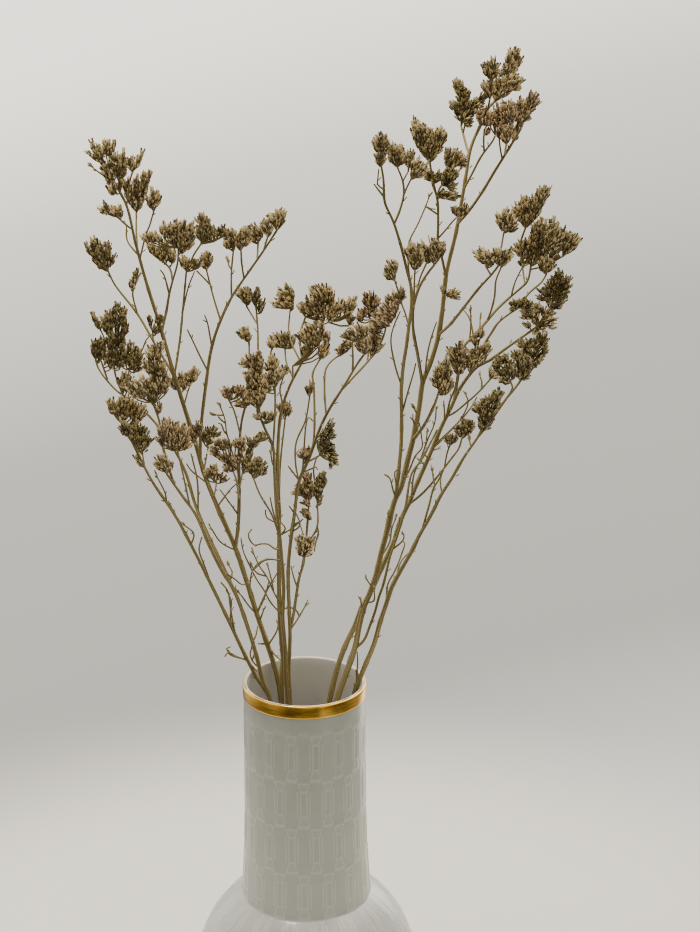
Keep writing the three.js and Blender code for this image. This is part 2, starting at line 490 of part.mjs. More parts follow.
spray('spray_mid_right', [-20, -10], 4);
limb('stem', '', 3, 1.2, 25, [14, -10, 16.3, 0, 19, 10, 22.8, 20, 27.6, 30, 31.5, 40, 37, 50,
  41.5, 60, 46, 69.5, 49.1, 76.3, 53.3, 89.1, 57.9, 98.6, 61.8, 108.2, 64.8, 115, 67.5, 121,
  71.3, 130, 75.5, 140, 80.5, 150, 85.1, 160, 90.5, 167.8, 94.9, 172.5, 102.4, 176.5, 110, 182.1,
  118, 187.7, 128.5, 195], [119, 200, 122, 203.5, 127, 206.5, 131, 206, 135, 203, 138.5, 199.5, 136, 195]);
limb('upper head', 'stem', 1.2, 1, 34, [127, 194, 133, 202, 137, 209],
  [128, 212, 133, 217, 137, 221, 141, 226, 146, 220, 146, 213, 143, 207]);
limb('cluster mid', 'stem', 1.2, 1, 12, [78, 145, 80, 154, 82.9, 161.1, 84, 168],
  [80, 183, 83.5, 184.5, 87.5, 182, 90, 175]);
limb('cluster right', 'stem', 1.1, 0.9, 14, [89.5, 166.5, 92, 172],
  [92, 182, 96, 184, 101, 185, 101.5, 179]);
limb('golden arm', 'stem', 1.8, 1.2, 36, [82, 154, 84.5, 168, 86.5, 182, 92.5, 189.2, 98.1, 195.2,
  105.3, 203.6, 112, 210, 117.4, 214.6, 122.6, 219.8, 124.5, 228],
[123, 242, 127, 249, 131, 254.5, 136, 253, 142, 248, 137, 240, 130, 242]);
limb('golden arm right', 'golden arm', 1, 0.9, 28, [124, 226, 132, 228, 138, 231, 142.5, 233.5],
  [142.5, 242, 147, 245.5, 151.5, 243, 149, 238]);
limb('golden arm left', 'golden arm', 1, 0.9, 44, [121, 218.5, 119.5, 230],
  [114, 236, 116.5, 240.5, 120.5, 241, 121.5, 235]);
limb('comb head', 'golden arm left', 1.1, 1, 30, [119.8, 228, 118.7, 240, 121.5, 249],
  [114, 260, 120, 266, 126, 267, 130, 267, 135, 271.5, 132, 261]);
limb('thin left', 'golden arm', 1.1, 0.9, 20, [100.5, 198, 102.5, 203.2, 104.5, 211.1, 105.3, 220,
  108, 227], [108, 234, 111, 236, 113.5, 234]);
limb('second arm', 'stem', 1.5, 1, 16, [94, 171.7, 98.5, 184, 103.3, 192, 106.5, 196.8, 112.5, 201.6,
  118, 205], [114, 208.5, 118, 209, 121.5, 210, 125.5, 207]);
limb('second arm up', 'second arm', 1.1, 0.9, 26, [117, 204.5, 123.8, 213.4, 130.6, 219.4, 133, 223.5],
  [130, 230, 134, 232, 138, 230, 137, 226]);
limb('bract twig', 'stem', 1.1, 0.9, -4, [78, 145, 82.5, 147.4, 88.9, 152.6, 94.9, 157.8, 102, 165.5],
  [101, 173, 104.5, 171]);
limb('low twig', 'stem', 1.4, 1, 4, [56.8, 96.3, 64.6, 102.7, 70.5, 109, 75.3, 114.9, 80.5, 121.7,
  84.9, 127.7, 86.5, 133], [82.5, 140, 86.5, 144.5, 91, 143.5, 94, 139]);
limb('low twig left', 'low twig', 1, 0.9, 8, [77, 117, 78.5, 125.5, 80, 129.5],
  [78, 134, 83, 134.5]);

spray('spray_outer_right', [-13, -25], -2);
limb('stem', '', 2.8, 1.1, -34, [27.2, -8, 30, 0, 34.1, 10, 38.2, 20, 41.7, 32.4, 44.9, 42,
  48.3, 52, 53.1, 60.8, 59.1, 71.5, 63.4, 80.3, 69.4, 90.7, 75.2, 102.2, 80.8, 110.9, 88, 123.3,
  95.6, 134.4, 98.5, 141], [94, 153, 98, 156.5, 103, 158.5, 107.5, 160, 106, 152, 103.5, 146]);
limb('far arm', 'stem', 1.6, 1.1, -24, [95.6, 134.4, 104, 145.4, 111.2, 155.4, 118, 163.8, 120, 167],
  [113, 179, 117, 181.5, 121, 180, 125.5, 176, 125, 170]);
limb('far arm top', 'far arm', 1.1, 1, -16, [119.5, 166, 123, 173, 126, 179],
  [119, 186.5, 123.5, 187.5, 129, 191, 133.5, 187, 133, 181]);
limb('far arm left', 'far arm', 1, 0.9, -36, [110.5, 154.5, 114.4, 161, 112.5, 165.5],
  [105, 169, 108, 164.5, 108.5, 173, 111.5, 178]);
limb('inner twig', 'stem', 1.2, 0.9, -26, [64.6, 82, 68.6, 96.7, 71, 105.8, 74.1, 110.9, 76.5, 116]);
limb('broken stub', 'stem', 2, 1.3, -2, [28.6, -4, 29.2, 1, 28.6, 6.2]);

// The depth of each point of a route, eased from where the limb starts to the depth it reaches
function depthsAlong(route, start, end) {
  const run = [0];
  for (let i = 1; i < route.length; i += 1) {
    run.push(run[i - 1] + Math.hypot(route[i][0] - route[i - 1][0], route[i][1] - route[i - 1][1]));
  }
  return run.map((length) => start + (end - start) * (length / run[run.length - 1]));
}

// The sheet point and depth of a limb's centreline that is nearest to a sheet point
function nearestOn(limbRoute, [across, up]) {
  let best = { gap: Infinity };
  for (let i = 1; i < limbRoute.length; i += 1) {
    const [a, b] = [limbRoute[i - 1], limbRoute[i]];
    const run = [b[0] - a[0], b[1] - a[1]];
    const along = ((across - a[0]) * run[0] + (up - a[1]) * run[1]) / (run[0] ** 2 + run[1] ** 2);
    const t = THREE.MathUtils.clamp(along, 0, 1);
    const point = [0, 1, 2].map((k) => THREE.MathUtils.lerp(a[k], b[k], t));
    const gap = Math.hypot(point[0] - across, point[1] - up);
    if (gap < best.gap) best = { gap, point };
  }
  return best.point;
}

function routeWithDepths(branch, parentRoute, rimDepth) {
  const route = thinOut(branch.route).map((point) => [...point]);
  let start = rimDepth;
  if (parentRoute) {
    const root = nearestOn(parentRoute, route[0]);
    route[0] = [root[0], root[1]];
    start = root[2];
  }
  const depths = depthsAlong(route, start, branch.depth);
  return route.map(([across, up], i) => [across, up, depths[i]]);
}

// The spikes of a head in order round its base, counterclockwise as seen from the front: each has
// its direction on the sheet, its length, and the depth that its tip gains, to and fro by turns
function orderedSpikes(base, tips, count) {
  const reach = Math.max(...tips.map(([a, u]) => Math.hypot(a - base[0], u - base[1])));
  const spikes = tips.map(([a, u], j) => {
    const [across, up] = [a - base[0], u - base[1]];
    const side = j % 2 === 0 ? 1 : -1;
    const gain = side * reach * SPREAD_SHARE * (0.5 + 0.5 * draw(count, j));
    return { across, up, length: Math.hypot(across, up), gain };
  });
  const middle = Math.atan2(
    spikes.reduce((sum, { up, length }) => sum + up / length, 0),
    spikes.reduce((sum, { across, length }) => sum + across / length, 0),
  );
  spikes.forEach((spike) => {
    const turn = Math.atan2(spike.up, spike.across) - middle;
    spike.angle = middle + Math.atan2(Math.sin(turn), Math.cos(turn));
  });
  return spikes.sort((a, b) => a.angle - b.angle);
}

// A head is one lens-like solid: its jagged outline is a ring of columns, and each column also has
// the inner point that the outline is joined to, a spike's ridge or the head's centre.
function headColumns(base, tips, count) {
  const spikes = orderedSpikes(base, tips, count);
  const last = spikes.length - 1;
  const rest = 2 * Math.PI - (spikes[last].angle - spikes[0].angle);
  const at = (angle, length, gain) => [Math.cos(angle) * length, Math.sin(angle) * length, gain];
  const centre = { point: [0, 0, 0], half: HEAD_HALF_THICKNESS };
  const columns = [];

  const startHip = at(spikes[0].angle - rest / 3, HIP_REACH, 0);
  columns.push({ edge: startHip, inner: centre });
  let before = startHip;
  spikes.forEach((spike, i) => {
    const next = spikes[i + 1];
    const slim = Math.min(1, spike.length / MEDIUM_SPIKE);
    const ridge = {
      point: at(spike.angle, RIDGE_SHARE * spike.length, RIDGE_SHARE * spike.gain),
      half: SPIKE_HALF_THICKNESS * slim,
    };
    let after = at(spikes[last].angle + rest / 3, HIP_REACH, 0);
    if (next) {
      const length = VALLEY_SHARE * Math.min(spike.length, next.length);
      after = at((spike.angle + next.angle) / 2, length, VALLEY_SHARE * (spike.gain + next.gain) / 2);
    }

    // A floret tip and the notch above it, on the side that the sign gives
    const teeth = (sign, room) => {
      const lateral = FLORET_SHARE * spike.length * Math.tan(Math.min(WEDGE_FILL * room, 1));
      const wide = Math.min(FLORET_REACH * slim, lateral);
      const turnOf = (along, width) => spike.angle + sign * Math.atan2(width, along);
      const tooth = (share, width, gain) => {
        const along = share * spike.length;
        return at(turnOf(along, width), Math.hypot(along, width), share * spike.gain + gain);
      };
      const lean = i % 2 === 0 ? sign : -sign;
      return [
        tooth(FLORET_SHARE, wide, lean * FLORET_DEPTH),
        tooth(NOTCH_SHARE, NOTCH_WIDTH_SHARE * wide, 0),
      ];
    };
    const roomBefore = i > 0 ? (spike.angle - spikes[i - 1].angle) / 2 : rest / 3;
    const roomAfter = next ? (next.angle - spike.angle) / 2 : rest / 3;
    const both = spike.length > MEDIUM_SPIKE;
    const one = spike.length > SHORT_SPIKE;
    const edges = [before];
    if (both || (one && i % 2 === 0)) edges.push(...teeth(-1, roomBefore));
    edges.push(at(spike.angle, spike.length, spike.gain));
    if (both || (one && i % 2 === 1)) edges.push(...teeth(1, roomAfter).reverse());
    edges.push(after);
    edges.forEach((edge) => columns.push({ edge, inner: ridge }));
    columns.push({ edge: after, inner: centre });
    before = after;
  });
  return columns;
}

// The solid is turned as a thick disc, back pole first, and each of its points is then carried to
// its place: poles to the centre, the outer ring to the outline, the rings beside it to the ridges
function flowerHead(route, tips, count) {
  const base = route[route.length - 1];
  const columns = headColumns(base, tips, count);
  const outline = [[0, 0], [1, 1], [2, 2], [1, 3], [0, 4]].map(([r, h]) => new THREE.Vector2(r, h));
  const geometry = new THREE.LatheGeometry(outline, columns.length);
  const position = geometry.attributes.position;
  for (let k = 0; k < position.count; k += 1) {
    const { edge, inner } = columns[Math.floor(k / outline.length) % columns.length];
    const level = k % outline.length;
    const isPole = level === 0 || level === outline.length - 1;
    const toFront = level < 2 ? 1 : -1;
    const centre = { point: [0, 0, 0], half: HEAD_HALF_THICKNESS };
    const { point, half } = isPole ? centre : inner;
    const [across, up, gain] = level === 2 ? edge : [point[0], point[1], point[2] + toFront * half];
    const spot = place(base[0] + across, base[1] + up, base[2] + gain);
    position.setXYZ(k, spot.x, spot.y, spot.z);
  }
  return toSolid(geometry);
}

// The radius at each point of a path: even up to the point where the taper starts, then slimmer
// and slimmer towards the end
function radiiAlong(path, { thick, thin }, taperStart) {
  const run = [0];
  for (let i = 1; i < path.length; i += 1) run.push(run[i - 1] + path[i].distanceTo(path[i - 1]));
  const from = run[taperStart];
  return run.map((length) => {
    const share = Math.max(0, length - from) / (run[run.length - 1] - from);
    return THREE.MathUtils.lerp(thick, thin, share ** TAPER_POWER) / 2;
  });
}

// A route without the points that bend it by less than the tolerance
function thinOut(route) {
  const kept = [route[0]];
  for (let i = 1; i < route.length - 1; i += 1) {
    const [a, b, c] = [kept[kept.length - 1], route[i], route[i + 1]];
    const run = Math.hypot(c[0] - a[0], c[1] - a[1]);
    const bend = Math.abs((b[0] - a[0]) * (c[1] - a[1]) - (b[1] - a[1]) * (c[0] - a[0])) / run;
    if (bend > ROUTE_TOLERANCE) kept.push(b);
  }
  kept.push(route[route.length - 1]);
  return kept;
}

function makeSpray({ foot, rimDepth, limbs }) {
  const solids = [];
  const routes = new Map();
  let count = 0;
  limbs.forEach((branch, name) => {
    const route = routeWithDepths(branch, routes.get(branch.parent), rimDepth);
    routes.set(name, route);
    const path = route.map(([across, up, depth]) => place(across, up, depth));
    const isStem = !branch.parent;
    if (isStem) {
      // The cut end is square to the leaning stem, so its low edge sets the stem's height
      const cutEnd = new THREE.Vector3(foot[0], foot[1], FLOOR + FOOT_CLEARANCE);
      const lean = path[0].clone().sub(cutEnd).normalize();
      cutEnd.z += (branch.thick / 2) * Math.hypot(lean.x, lean.y);
      const halfway = cutEnd.clone().lerp(path[0], 0.5);
      halfway.y += STEM_BOW;
      path.unshift(cutEnd, halfway);
    } else {
      const back = path[0].clone().sub(path[1]).setLength(ROOT_SINK);
      path[0].add(back);
    }
    const sides = branch.thick >= STEM_THICKNESS ? STEM_SIDES : TWIG_SIDES;
    const taperStart = isStem ? 2 : 0;
    solids.push(roundBar(path, radiiAlong(path, branch, taperStart), sides));
    if (branch.tips.length) solids.push(flowerHead(route, branch.tips, count));
    count += 1;
  });
  return largestBody(joinAll(solids));
}

// ---------------------------------------------------------------------------------------------
// Assembly

const porcelain = new THREE.MeshStandardMaterial({ color: '#b9b6ae', roughness: 0.35, metalness: 0 });
const driedStem = new THREE.MeshStandardMaterial({ color: '#7d6a3c', roughness: 0.85, metalness: 0 });
const driedBrown = new THREE.MeshStandardMaterial({ color: '#6f5a39', roughness: 0.85, metalness: 0 });

const assembly = new THREE.Group();
assembly.name = 'dried_statice_in_vase';
assembly.add(toMesh('vase', makeVase(), porcelain));
sprays.forEach((cut) => {
  const material = cut.name === 'spray_brown' ? driedBrown : driedStem;
  assembly.add(toMesh(cut.name, makeSpray(cut), material));
});

export default assembly;
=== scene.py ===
# %% [markdown]
# # Dried statice in a porcelain vase
# The object is a tall bottle-necked vase with nine cut stems of dried statice, which is a kind of
# sea lavender. The CAD model gives the size and place of each stem. Here each one gets the dry
# bark, scales and hundreds of small papery calyces of the real plant, and the vase gets its glaze,
# its low relief and its gilded rim.

import json
import math

import bpy
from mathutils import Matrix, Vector

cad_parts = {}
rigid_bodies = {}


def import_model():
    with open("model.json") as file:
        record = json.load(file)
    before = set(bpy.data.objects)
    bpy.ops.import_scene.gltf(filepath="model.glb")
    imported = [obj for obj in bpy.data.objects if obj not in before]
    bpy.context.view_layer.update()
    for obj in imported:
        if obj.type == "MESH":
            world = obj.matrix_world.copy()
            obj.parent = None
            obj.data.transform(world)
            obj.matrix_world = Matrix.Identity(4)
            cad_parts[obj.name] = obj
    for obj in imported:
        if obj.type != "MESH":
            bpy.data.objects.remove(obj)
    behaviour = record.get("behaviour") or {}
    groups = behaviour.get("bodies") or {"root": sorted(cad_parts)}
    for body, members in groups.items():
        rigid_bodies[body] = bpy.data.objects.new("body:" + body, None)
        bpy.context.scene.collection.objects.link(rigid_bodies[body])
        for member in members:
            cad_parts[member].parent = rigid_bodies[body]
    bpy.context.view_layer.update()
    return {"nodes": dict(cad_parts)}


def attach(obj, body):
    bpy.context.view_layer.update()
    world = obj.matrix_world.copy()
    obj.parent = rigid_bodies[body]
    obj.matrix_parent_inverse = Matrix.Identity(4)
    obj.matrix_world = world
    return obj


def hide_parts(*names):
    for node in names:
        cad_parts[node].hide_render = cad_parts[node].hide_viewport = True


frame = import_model()
MM = 0.001
print("CAD nodes:", sorted(frame["nodes"]))

# %% [markdown]
# ## Helpers
# Colours are picked as sRGB hex values, because that is how they look on a screen, but shaders
# work with linear light, so one function converts them. Node trees are long to write out, so one
# function adds a node and sets its properties, and uses another to fill or link its inputs.

# %% Colour and node helpers
# A Mix node has an A, a B and a Result for each kind of value, so those for colours go by number
MIX_A, MIX_B, MIX_RESULT = 6, 7, 2


def linear(hex_colour):
    """A colour such as "c8a55a" as linear red, green, blue and alpha."""
    values = []
    for i in (0, 2, 4):
        s = int(hex_colour[i:i + 2], 16) / 255
        values.append(s / 12.92 if s <= 0.04045 else ((s + 0.055) / 1.055) ** 2.4)
    return (*values, 1.0)


def fill(tree, node, inputs):
    """Sets a node's inputs, by name or number: each to a value, or to a socket to link."""
    for key, value in inputs.items():
        socket = node.inputs[key]
        if isinstance(value, bpy.types.NodeSocket):
            tree.links.new(value, socket)
        else:
            socket.default_value = value


def add_node(tree, kind, inputs=None, stops=(), **settings):
    """Adds a node, sets its properties and fills its inputs.

    A Color Ramp also has stops: positions, each with a hex colour, or a number for a plain grey.
    """
    node = tree.nodes.new(kind)
    for key, value in settings.items():
        setattr(node, key, value)
    fill(tree, node, inputs or {})
    if stops:
        elements = node.color_ramp.elements
        while len(elements) < len(stops):
            elements.new(0.5)
        for element, (position, colour) in zip(elements, stops):
            element.position = position
            element.color = linear(colour) if isinstance(colour, str) else (colour, colour, colour, 1)
    return node


def start_material(name):
    """A new material: its tree, its Principled shader, and object coordinates in millimetres."""
    material = bpy.data.materials.new(name)
    material.use_nodes = True
    tree = material.node_tree
    place_node = add_node(tree, "ShaderNodeTexCoord")
    scaled = add_node(tree, "ShaderNodeVectorMath", {
        0: place_node.outputs["Object"], "Scale": 1 / MM,
    }, operation="SCALE")
    return material, tree, tree.nodes["Principled BSDF"], scaled.outputs["Vector"]


print("helpers ready")

# %% [markdown]
# ## Camera
# The bunch is seen from a little above, at about a metre. A long lens keeps the stems straight and
# the vase's sides upright. The eye's place is given on the drawing sheet that the stems are laid
# out on: an upright sheet through the rim's centre, leaning back square to the line of sight.

# %% The drawing sheet and the camera
VASE_HEIGHT = 231
SHEET_LEAN = math.radians(17.8)
EYE_DISTANCE = 1017.5
EYE_ACROSS = 25
EYE_UP = 118
# A long lens: its focal length against the frame's height, both in pixels
FOCAL_PIXELS, FRAME_PIXELS = 1850, 932
SENSOR_HEIGHT = 24
# A little sharper than the usual 1.5
PIXEL_FILTER = 1.2

lean_sin, lean_cos = math.sin(SHEET_LEAN), math.cos(SHEET_LEAN)
eye_back = EYE_DISTANCE * lean_cos - EYE_UP * lean_sin
eye_height = VASE_HEIGHT + EYE_UP * lean_cos + EYE_DISTANCE * lean_sin

camera_data = bpy.data.cameras.new("camera")
camera_data.sensor_fit = "VERTICAL"
camera_data.sensor_height = SENSOR_HEIGHT
camera_data.lens = SENSOR_HEIGHT * (FOCAL_PIXELS / FRAME_PIXELS)
camera = bpy.data.objects.new("camera", camera_data)
camera.location = Vector((EYE_ACROSS, -eye_back, eye_height)) * MM
camera.rotation_euler = (math.pi / 2 - SHEET_LEAN, 0, 0)
bpy.context.scene.collection.objects.link(camera)
bpy.context.scene.camera = camera
bpy.context.scene.cycles.filter_width = PIXEL_FILTER


def place(across, up, depth):
    """A point of the drawing sheet, at a depth behind the vase's axis, in the model's millimetres."""
    t = (depth + eye_back) / (up * lean_sin + eye_back)
    return Vector((
        EYE_ACROSS + (across - EYE_ACROSS) * t,
        depth,
        eye_height + t * ((up - EYE_UP) * lean_cos - EYE_DISTANCE * lean_sin),
    ))


print("camera at", [round(v, 3) for v in camera.location])

# %% [markdown]
# ## Room: floor and light
# A plain pale floor fades into an even pale surround, as in a small light tent. A world colour that
# changes with height lights the bunch from all round, mostly from above and behind and a little
# from the right, and leaves the near side of the vase in soft shade. The tent's bright panels show
# only in reflections, such as in the gilding. A large lamp above brightens the tops of the heads,
# and a faint one on the left softens their shaded side.

# %% Surround: how bright it looks by height
# Radiance by the height of the direction, from straight down (0) to straight up (1)
WORLD_STOPS = [(0.0, 1.2), (0.24, 1.2), (0.29, 0.72), (0.37, 0.8), (0.43, 1.35), (0.47, 2.15),
               (0.6, 2.7), (1.0, 2.9)]
WORLD_TINT = "fff9ec"
BRIGHTEST = 3.0
SURROUND_TILT = 0.26
WHOLE_RANGE = {"From Min": -1.0, "From Max": 1.0}

world = bpy.data.worlds.new("pale_surround")
bpy.context.scene.world = world
world.use_nodes = True
sky = world.node_tree
direction = add_node(sky, "ShaderNodeTexCoord")
split = add_node(sky, "ShaderNodeSeparateXYZ", {0: direction.outputs["Generated"]})
# The surround is a little brighter at the upper left and the lower right
tilted = add_node(sky, "ShaderNodeMath", {
    0: split.outputs["X"], 1: -SURROUND_TILT, 2: split.outputs["Z"],
}, operation="MULTIPLY_ADD")
height = add_node(sky, "ShaderNodeMapRange", {"Value": tilted.outputs[0], **WHOLE_RANGE})
glow = add_node(sky, "ShaderNodeValToRGB", {"Fac": height.outputs["Result"]},
                stops=[(position, radiance / BRIGHTEST) for position, radiance in WORLD_STOPS])
tinted = add_node(sky, "ShaderNodeMix", {
    0: 1.0, MIX_A: glow.outputs["Color"], MIX_B: linear(WORLD_TINT),
}, data_type="RGBA", blend_type="MULTIPLY")
print("surround:", len(WORLD_STOPS), "stops")

# %% Surround: where its light comes from
UP_SHARE = 0.6
FRONT_LIGHT = 0.22
FRONT_END, BACK_START = -0.45, 0.95
LIGHT_SIDE = 0.3
SIDE_LIGHT = 0.4
SIDE_LOSS_START = 0.25

# The light comes from behind and above, but what is seen is the same all round, as a backdrop is
back_and_up = add_node(sky, "ShaderNodeMath", {
    0: split.outputs["Z"], 1: UP_SHARE, 2: split.outputs["Y"],
}, operation="MULTIPLY_ADD")
behind = add_node(sky, "ShaderNodeMapRange", {
    "Value": back_and_up.outputs[0], "From Min": FRONT_END, "From Max": BACK_START,
    "To Min": FRONT_LIGHT, "To Max": 1.0,
}, interpolation_type="SMOOTHSTEP")
off_side = add_node(sky, "ShaderNodeMath", {0: split.outputs["X"], 1: LIGHT_SIDE}, operation="SUBTRACT")
sideways = add_node(sky, "ShaderNodeMath", {0: off_side.outputs[0]}, operation="ABSOLUTE")
side_loss = add_node(sky, "ShaderNodeMapRange", {
    "Value": sideways.outputs[0], "From Min": SIDE_LOSS_START, "From Max": 1.0,
    "To Min": 1.0, "To Max": SIDE_LIGHT,
}, interpolation_type="SMOOTHSTEP")
source = add_node(sky, "ShaderNodeMath", {
    0: behind.outputs["Result"], 1: side_loss.outputs["Result"],
}, operation="MULTIPLY")
seen = add_node(sky, "ShaderNodeLightPath")
share = add_node(sky, "ShaderNodeMath", {
    0: source.outputs[0], 1: seen.outputs["Is Camera Ray"],
}, operation="MAXIMUM")
print("front gets", FRONT_LIGHT, "of the light behind")

# %% Surround: panels that show in reflections
# Gain of what is reflected, by how far to the right its direction points, from 0 to 1
PANEL_STOPS = [(0.0, 1.6), (0.1, 3.0), (0.2, 2.3), (0.27, 0.8), (0.4, 0.9), (0.5, 1.4), (0.7, 1.2),
               (0.76, 3.5), (0.84, 2.8), (0.9, 1.0), (1.0, 1.5)]
PANEL_BRIGHTEST = 4.0
# The numbers of a Mix node's A and B for plain values
MIX_A_VALUE, MIX_B_VALUE = 2, 3

across = add_node(sky, "ShaderNodeMapRange", {"Value": split.outputs["X"], **WHOLE_RANGE})
panels = add_node(sky, "ShaderNodeValToRGB", {"Fac": across.outputs["Result"]},
                  stops=[(position, gain / PANEL_BRIGHTEST) for position, gain in PANEL_STOPS])
panel_gain = add_node(sky, "ShaderNodeMath", {
    0: panels.outputs["Color"], 1: PANEL_BRIGHTEST,
}, operation="MULTIPLY")
reflected = add_node(sky, "ShaderNodeMix", {
    0: seen.outputs["Is Glossy Ray"], MIX_A_VALUE: 1.0, MIX_B_VALUE: panel_gain.outputs[0],
}, data_type="FLOAT")
lit = add_node(sky, "ShaderNodeMath", {0: share.outputs[0], 1: reflected.outputs[0]}, operation="MULTIPLY")
strength = add_node(sky, "ShaderNodeMath", {0: lit.outputs[0], 1: BRIGHTEST}, operation="MULTIPLY")
fill(sky, sky.nodes["Background"], {"Color": tinted.outputs[MIX_RESULT], "Strength": strength.outputs[0]})
print("panels:", len(PANEL_STOPS), "stops")


# %% Lamps
def add_lamp(name, position, target, size, watts, hex_colour):
    """A square area lamp that looks at a target, all in metres."""
    data = bpy.data.lights.new(name, "AREA")
    data.size = size
    data.energy = watts
    data.color = linear(hex_colour)[:3]
    lamp = bpy.data.objects.new(name, data)
    lamp.location = position
    aim = Vector(target) - Vector(position)
    lamp.rotation_euler = aim.to_track_quat("-Z", "Y").to_euler()
    bpy.context.scene.collection.objects.link(lamp)
    return lamp


add_lamp("tent_top", (-0.3, -0.05, 1.5), target=(0, 0, 0.35), size=0.5, watts=15, hex_colour="fffaf0")
add_lamp("tent_left", (-1.1, -0.6, 1.1), target=(0, 0, 0.45), size=0.5, watts=0.6, hex_colour="fff6e8")
print("lamps added")

# %% Floor
# Matt paper: it throws light back evenly, without gloss, and fades out before its edge shows
FLOOR_RADIUS = 0.5
FLOOR_FADE_START = 0.24
FLOOR_SIDES = 96

floor_mesh = bpy.data.meshes.new("floor")
ring = [(math.cos(2 * math.pi * i / FLOOR_SIDES) * FLOOR_RADIUS,
         math.sin(2 * math.pi * i / FLOOR_SIDES) * FLOOR_RADIUS, 0) for i in range(FLOOR_SIDES)]
floor_mesh.from_pydata(ring, [], [list(range(FLOOR_SIDES))])
floor = bpy.data.objects.new("floor", floor_mesh)
bpy.context.scene.collection.objects.link(floor)

floor_material, tree, shader, spot = start_material("matt_paper_floor")
reach = add_node(tree, "ShaderNodeVectorMath", {0: spot}, operation="LENGTH")
fade = add_node(tree, "ShaderNodeMapRange", {
    "Value": reach.outputs["Value"], "From Min": FLOOR_FADE_START / MM, "From Max": FLOOR_RADIUS / MM,
    "To Min": 1.0, "To Max": 0.0,
}, interpolation_type="SMOOTHSTEP")
fill(tree, shader, {"Base Color": linear("dcd9d2"), "Roughness": 0.9, "Alpha": fade.outputs["Result"]})
floor_mesh.materials.append(floor_material)
print("floor radius", FLOOR_RADIUS)

# %% [markdown]
# ## Glazed porcelain
# Porcelain is fired clay under a thin clear glaze. It looks pale grey with soft wide highlights, and
# its raised relief is painted a little paler than its low places. A faint mottling of a few
# millimetres keeps it from looking like plastic. The inside is painted paler: painted light for
# what little light reaches it through the mouth. Two attributes on the mesh say where the wall is
# raised and where it is inside.

# %% Porcelain material
GLAZE_MOTTLE_MM = 9
GLAZE_RIPPLES_PER_MM = 0.35

porcelain, tree, shader, spot = start_material("glazed_porcelain")
raised, inner = (
    add_node(tree, "ShaderNodeAttribute", attribute_name=name).outputs["Fac"]
    for name in ("raised", "inner")
)
mottle = add_node(tree, "ShaderNodeTexNoise", {"Vector": spot, "Scale": 1 / GLAZE_MOTTLE_MM, "Detail": 3.0})
body_colour = add_node(tree, "ShaderNodeValToRGB", {"Fac": mottle.outputs["Fac"]},
                       stops=[(0.3, "a5a79f"), (0.7, "abada6")])
# The raised relief is painted a paler grey than the wall's low places
raised_paler = add_node(tree, "ShaderNodeMix", {
    0: raised, MIX_A: body_colour.outputs["Color"], MIX_B: linear("babcb5"),
}, data_type="RGBA")
# The inside is painted paler: painted light for what little light reaches it through the mouth
glaze_and_painted_inner_light = add_node(tree, "ShaderNodeMix", {
    0: inner, MIX_A: raised_paler.outputs[MIX_RESULT], MIX_B: linear("cfcdc7"),
}, data_type="RGBA")
ripple = add_node(tree, "ShaderNodeTexNoise", {"Vector": spot, "Scale": GLAZE_RIPPLES_PER_MM, "Detail": 2.0})
bump = add_node(tree, "ShaderNodeBump", {
    "Height": ripple.outputs["Fac"], "Strength": 0.08, "Distance": 0.0004,
})
fill(tree, shader, {
    "Base Color": glaze_and_painted_inner_light.outputs[MIX_RESULT], "Roughness": 0.25, "IOR": 1.5,
    "Coat Weight": 0.15, "Coat Roughness": 0.08, "Normal": bump.outputs["Normal"],
})
print("material:", porcelain.name)

# %% [markdown]
# ## Burnished gold
# The rim band is bright gold painted on the glaze and fired. It is mirror-like but thin: fine
# brush streaks run round it, and it is worn darker in places.

# %% Gold material
# The streaks are long round the band and close together up it
BRUSH_STREAKS_PER_MM = (0.12, 0.12, 1.2)

gold, tree, shader, spot = start_material("burnished_gold_lustre")
streak_space = add_node(tree, "ShaderNodeMapping", {"Vector": spot, "Scale": BRUSH_STREAKS_PER_MM})
streaks = add_node(tree, "ShaderNodeTexNoise", {
    "Vector": streak_space.outputs["Vector"], "Scale": 1.0, "Detail": 4.0, "Roughness": 0.6,
})
gold_colour = add_node(tree, "ShaderNodeValToRGB", {"Fac": streaks.outputs["Fac"]},
                       stops=[(0.3, "ac7d25"), (0.5, "ca9b39"), (0.7, "ddb354")])
gold_rough = add_node(tree, "ShaderNodeMapRange", {
    "Value": streaks.outputs["Fac"], "To Min": 0.1, "To Max": 0.22,
})
fill(tree, shader, {
    "Base Color": gold_colour.outputs["Color"], "Metallic": 1.0, "Roughness": gold_rough.outputs["Result"],
})
print("material:", gold.name)

# %% [markdown]
# ## The vase
# The real vase is slip-cast in one piece: a ball-shaped body and a long straight neck, covered in
# low raised hourglass shapes in staggered rows. It could be turned as a plain lathe shape with the
# relief painted on as bump, but real relief catches the light at the outline too. So the wall is a
# fine grid of rings and columns, and a rule raises the grid's points: every cell is 24 columns wide.

# %% Vase sizes
RIM_RADIUS = 34.1
LIP_ROUND = 0.9
BAND_HEIGHT = 7.4
BAND_STEP = 0.35
NECK_WAIST_RADIUS = 33.5
NECK_FOOT_RADIUS = 36.3
NECK_FOOT_HEIGHT = 102.6
BODY_RADIUS = 63.7
BODY_CENTRE_HEIGHT = 50.4
WALL = 2.2
INNER_FLOOR = 4
RELIEF_START = 214
NECK_ROWS = 4
BODY_ROWS = 5
BODY_ROWS_END_HEIGHT = 12
CELLS_ROUND = 16
COLUMNS_PER_CELL = 24
COLUMNS = CELLS_ROUND * COLUMNS_PER_CELL
STEPS_PER_NECK_ROW = 28
STEPS_PER_BODY_ROW = 18
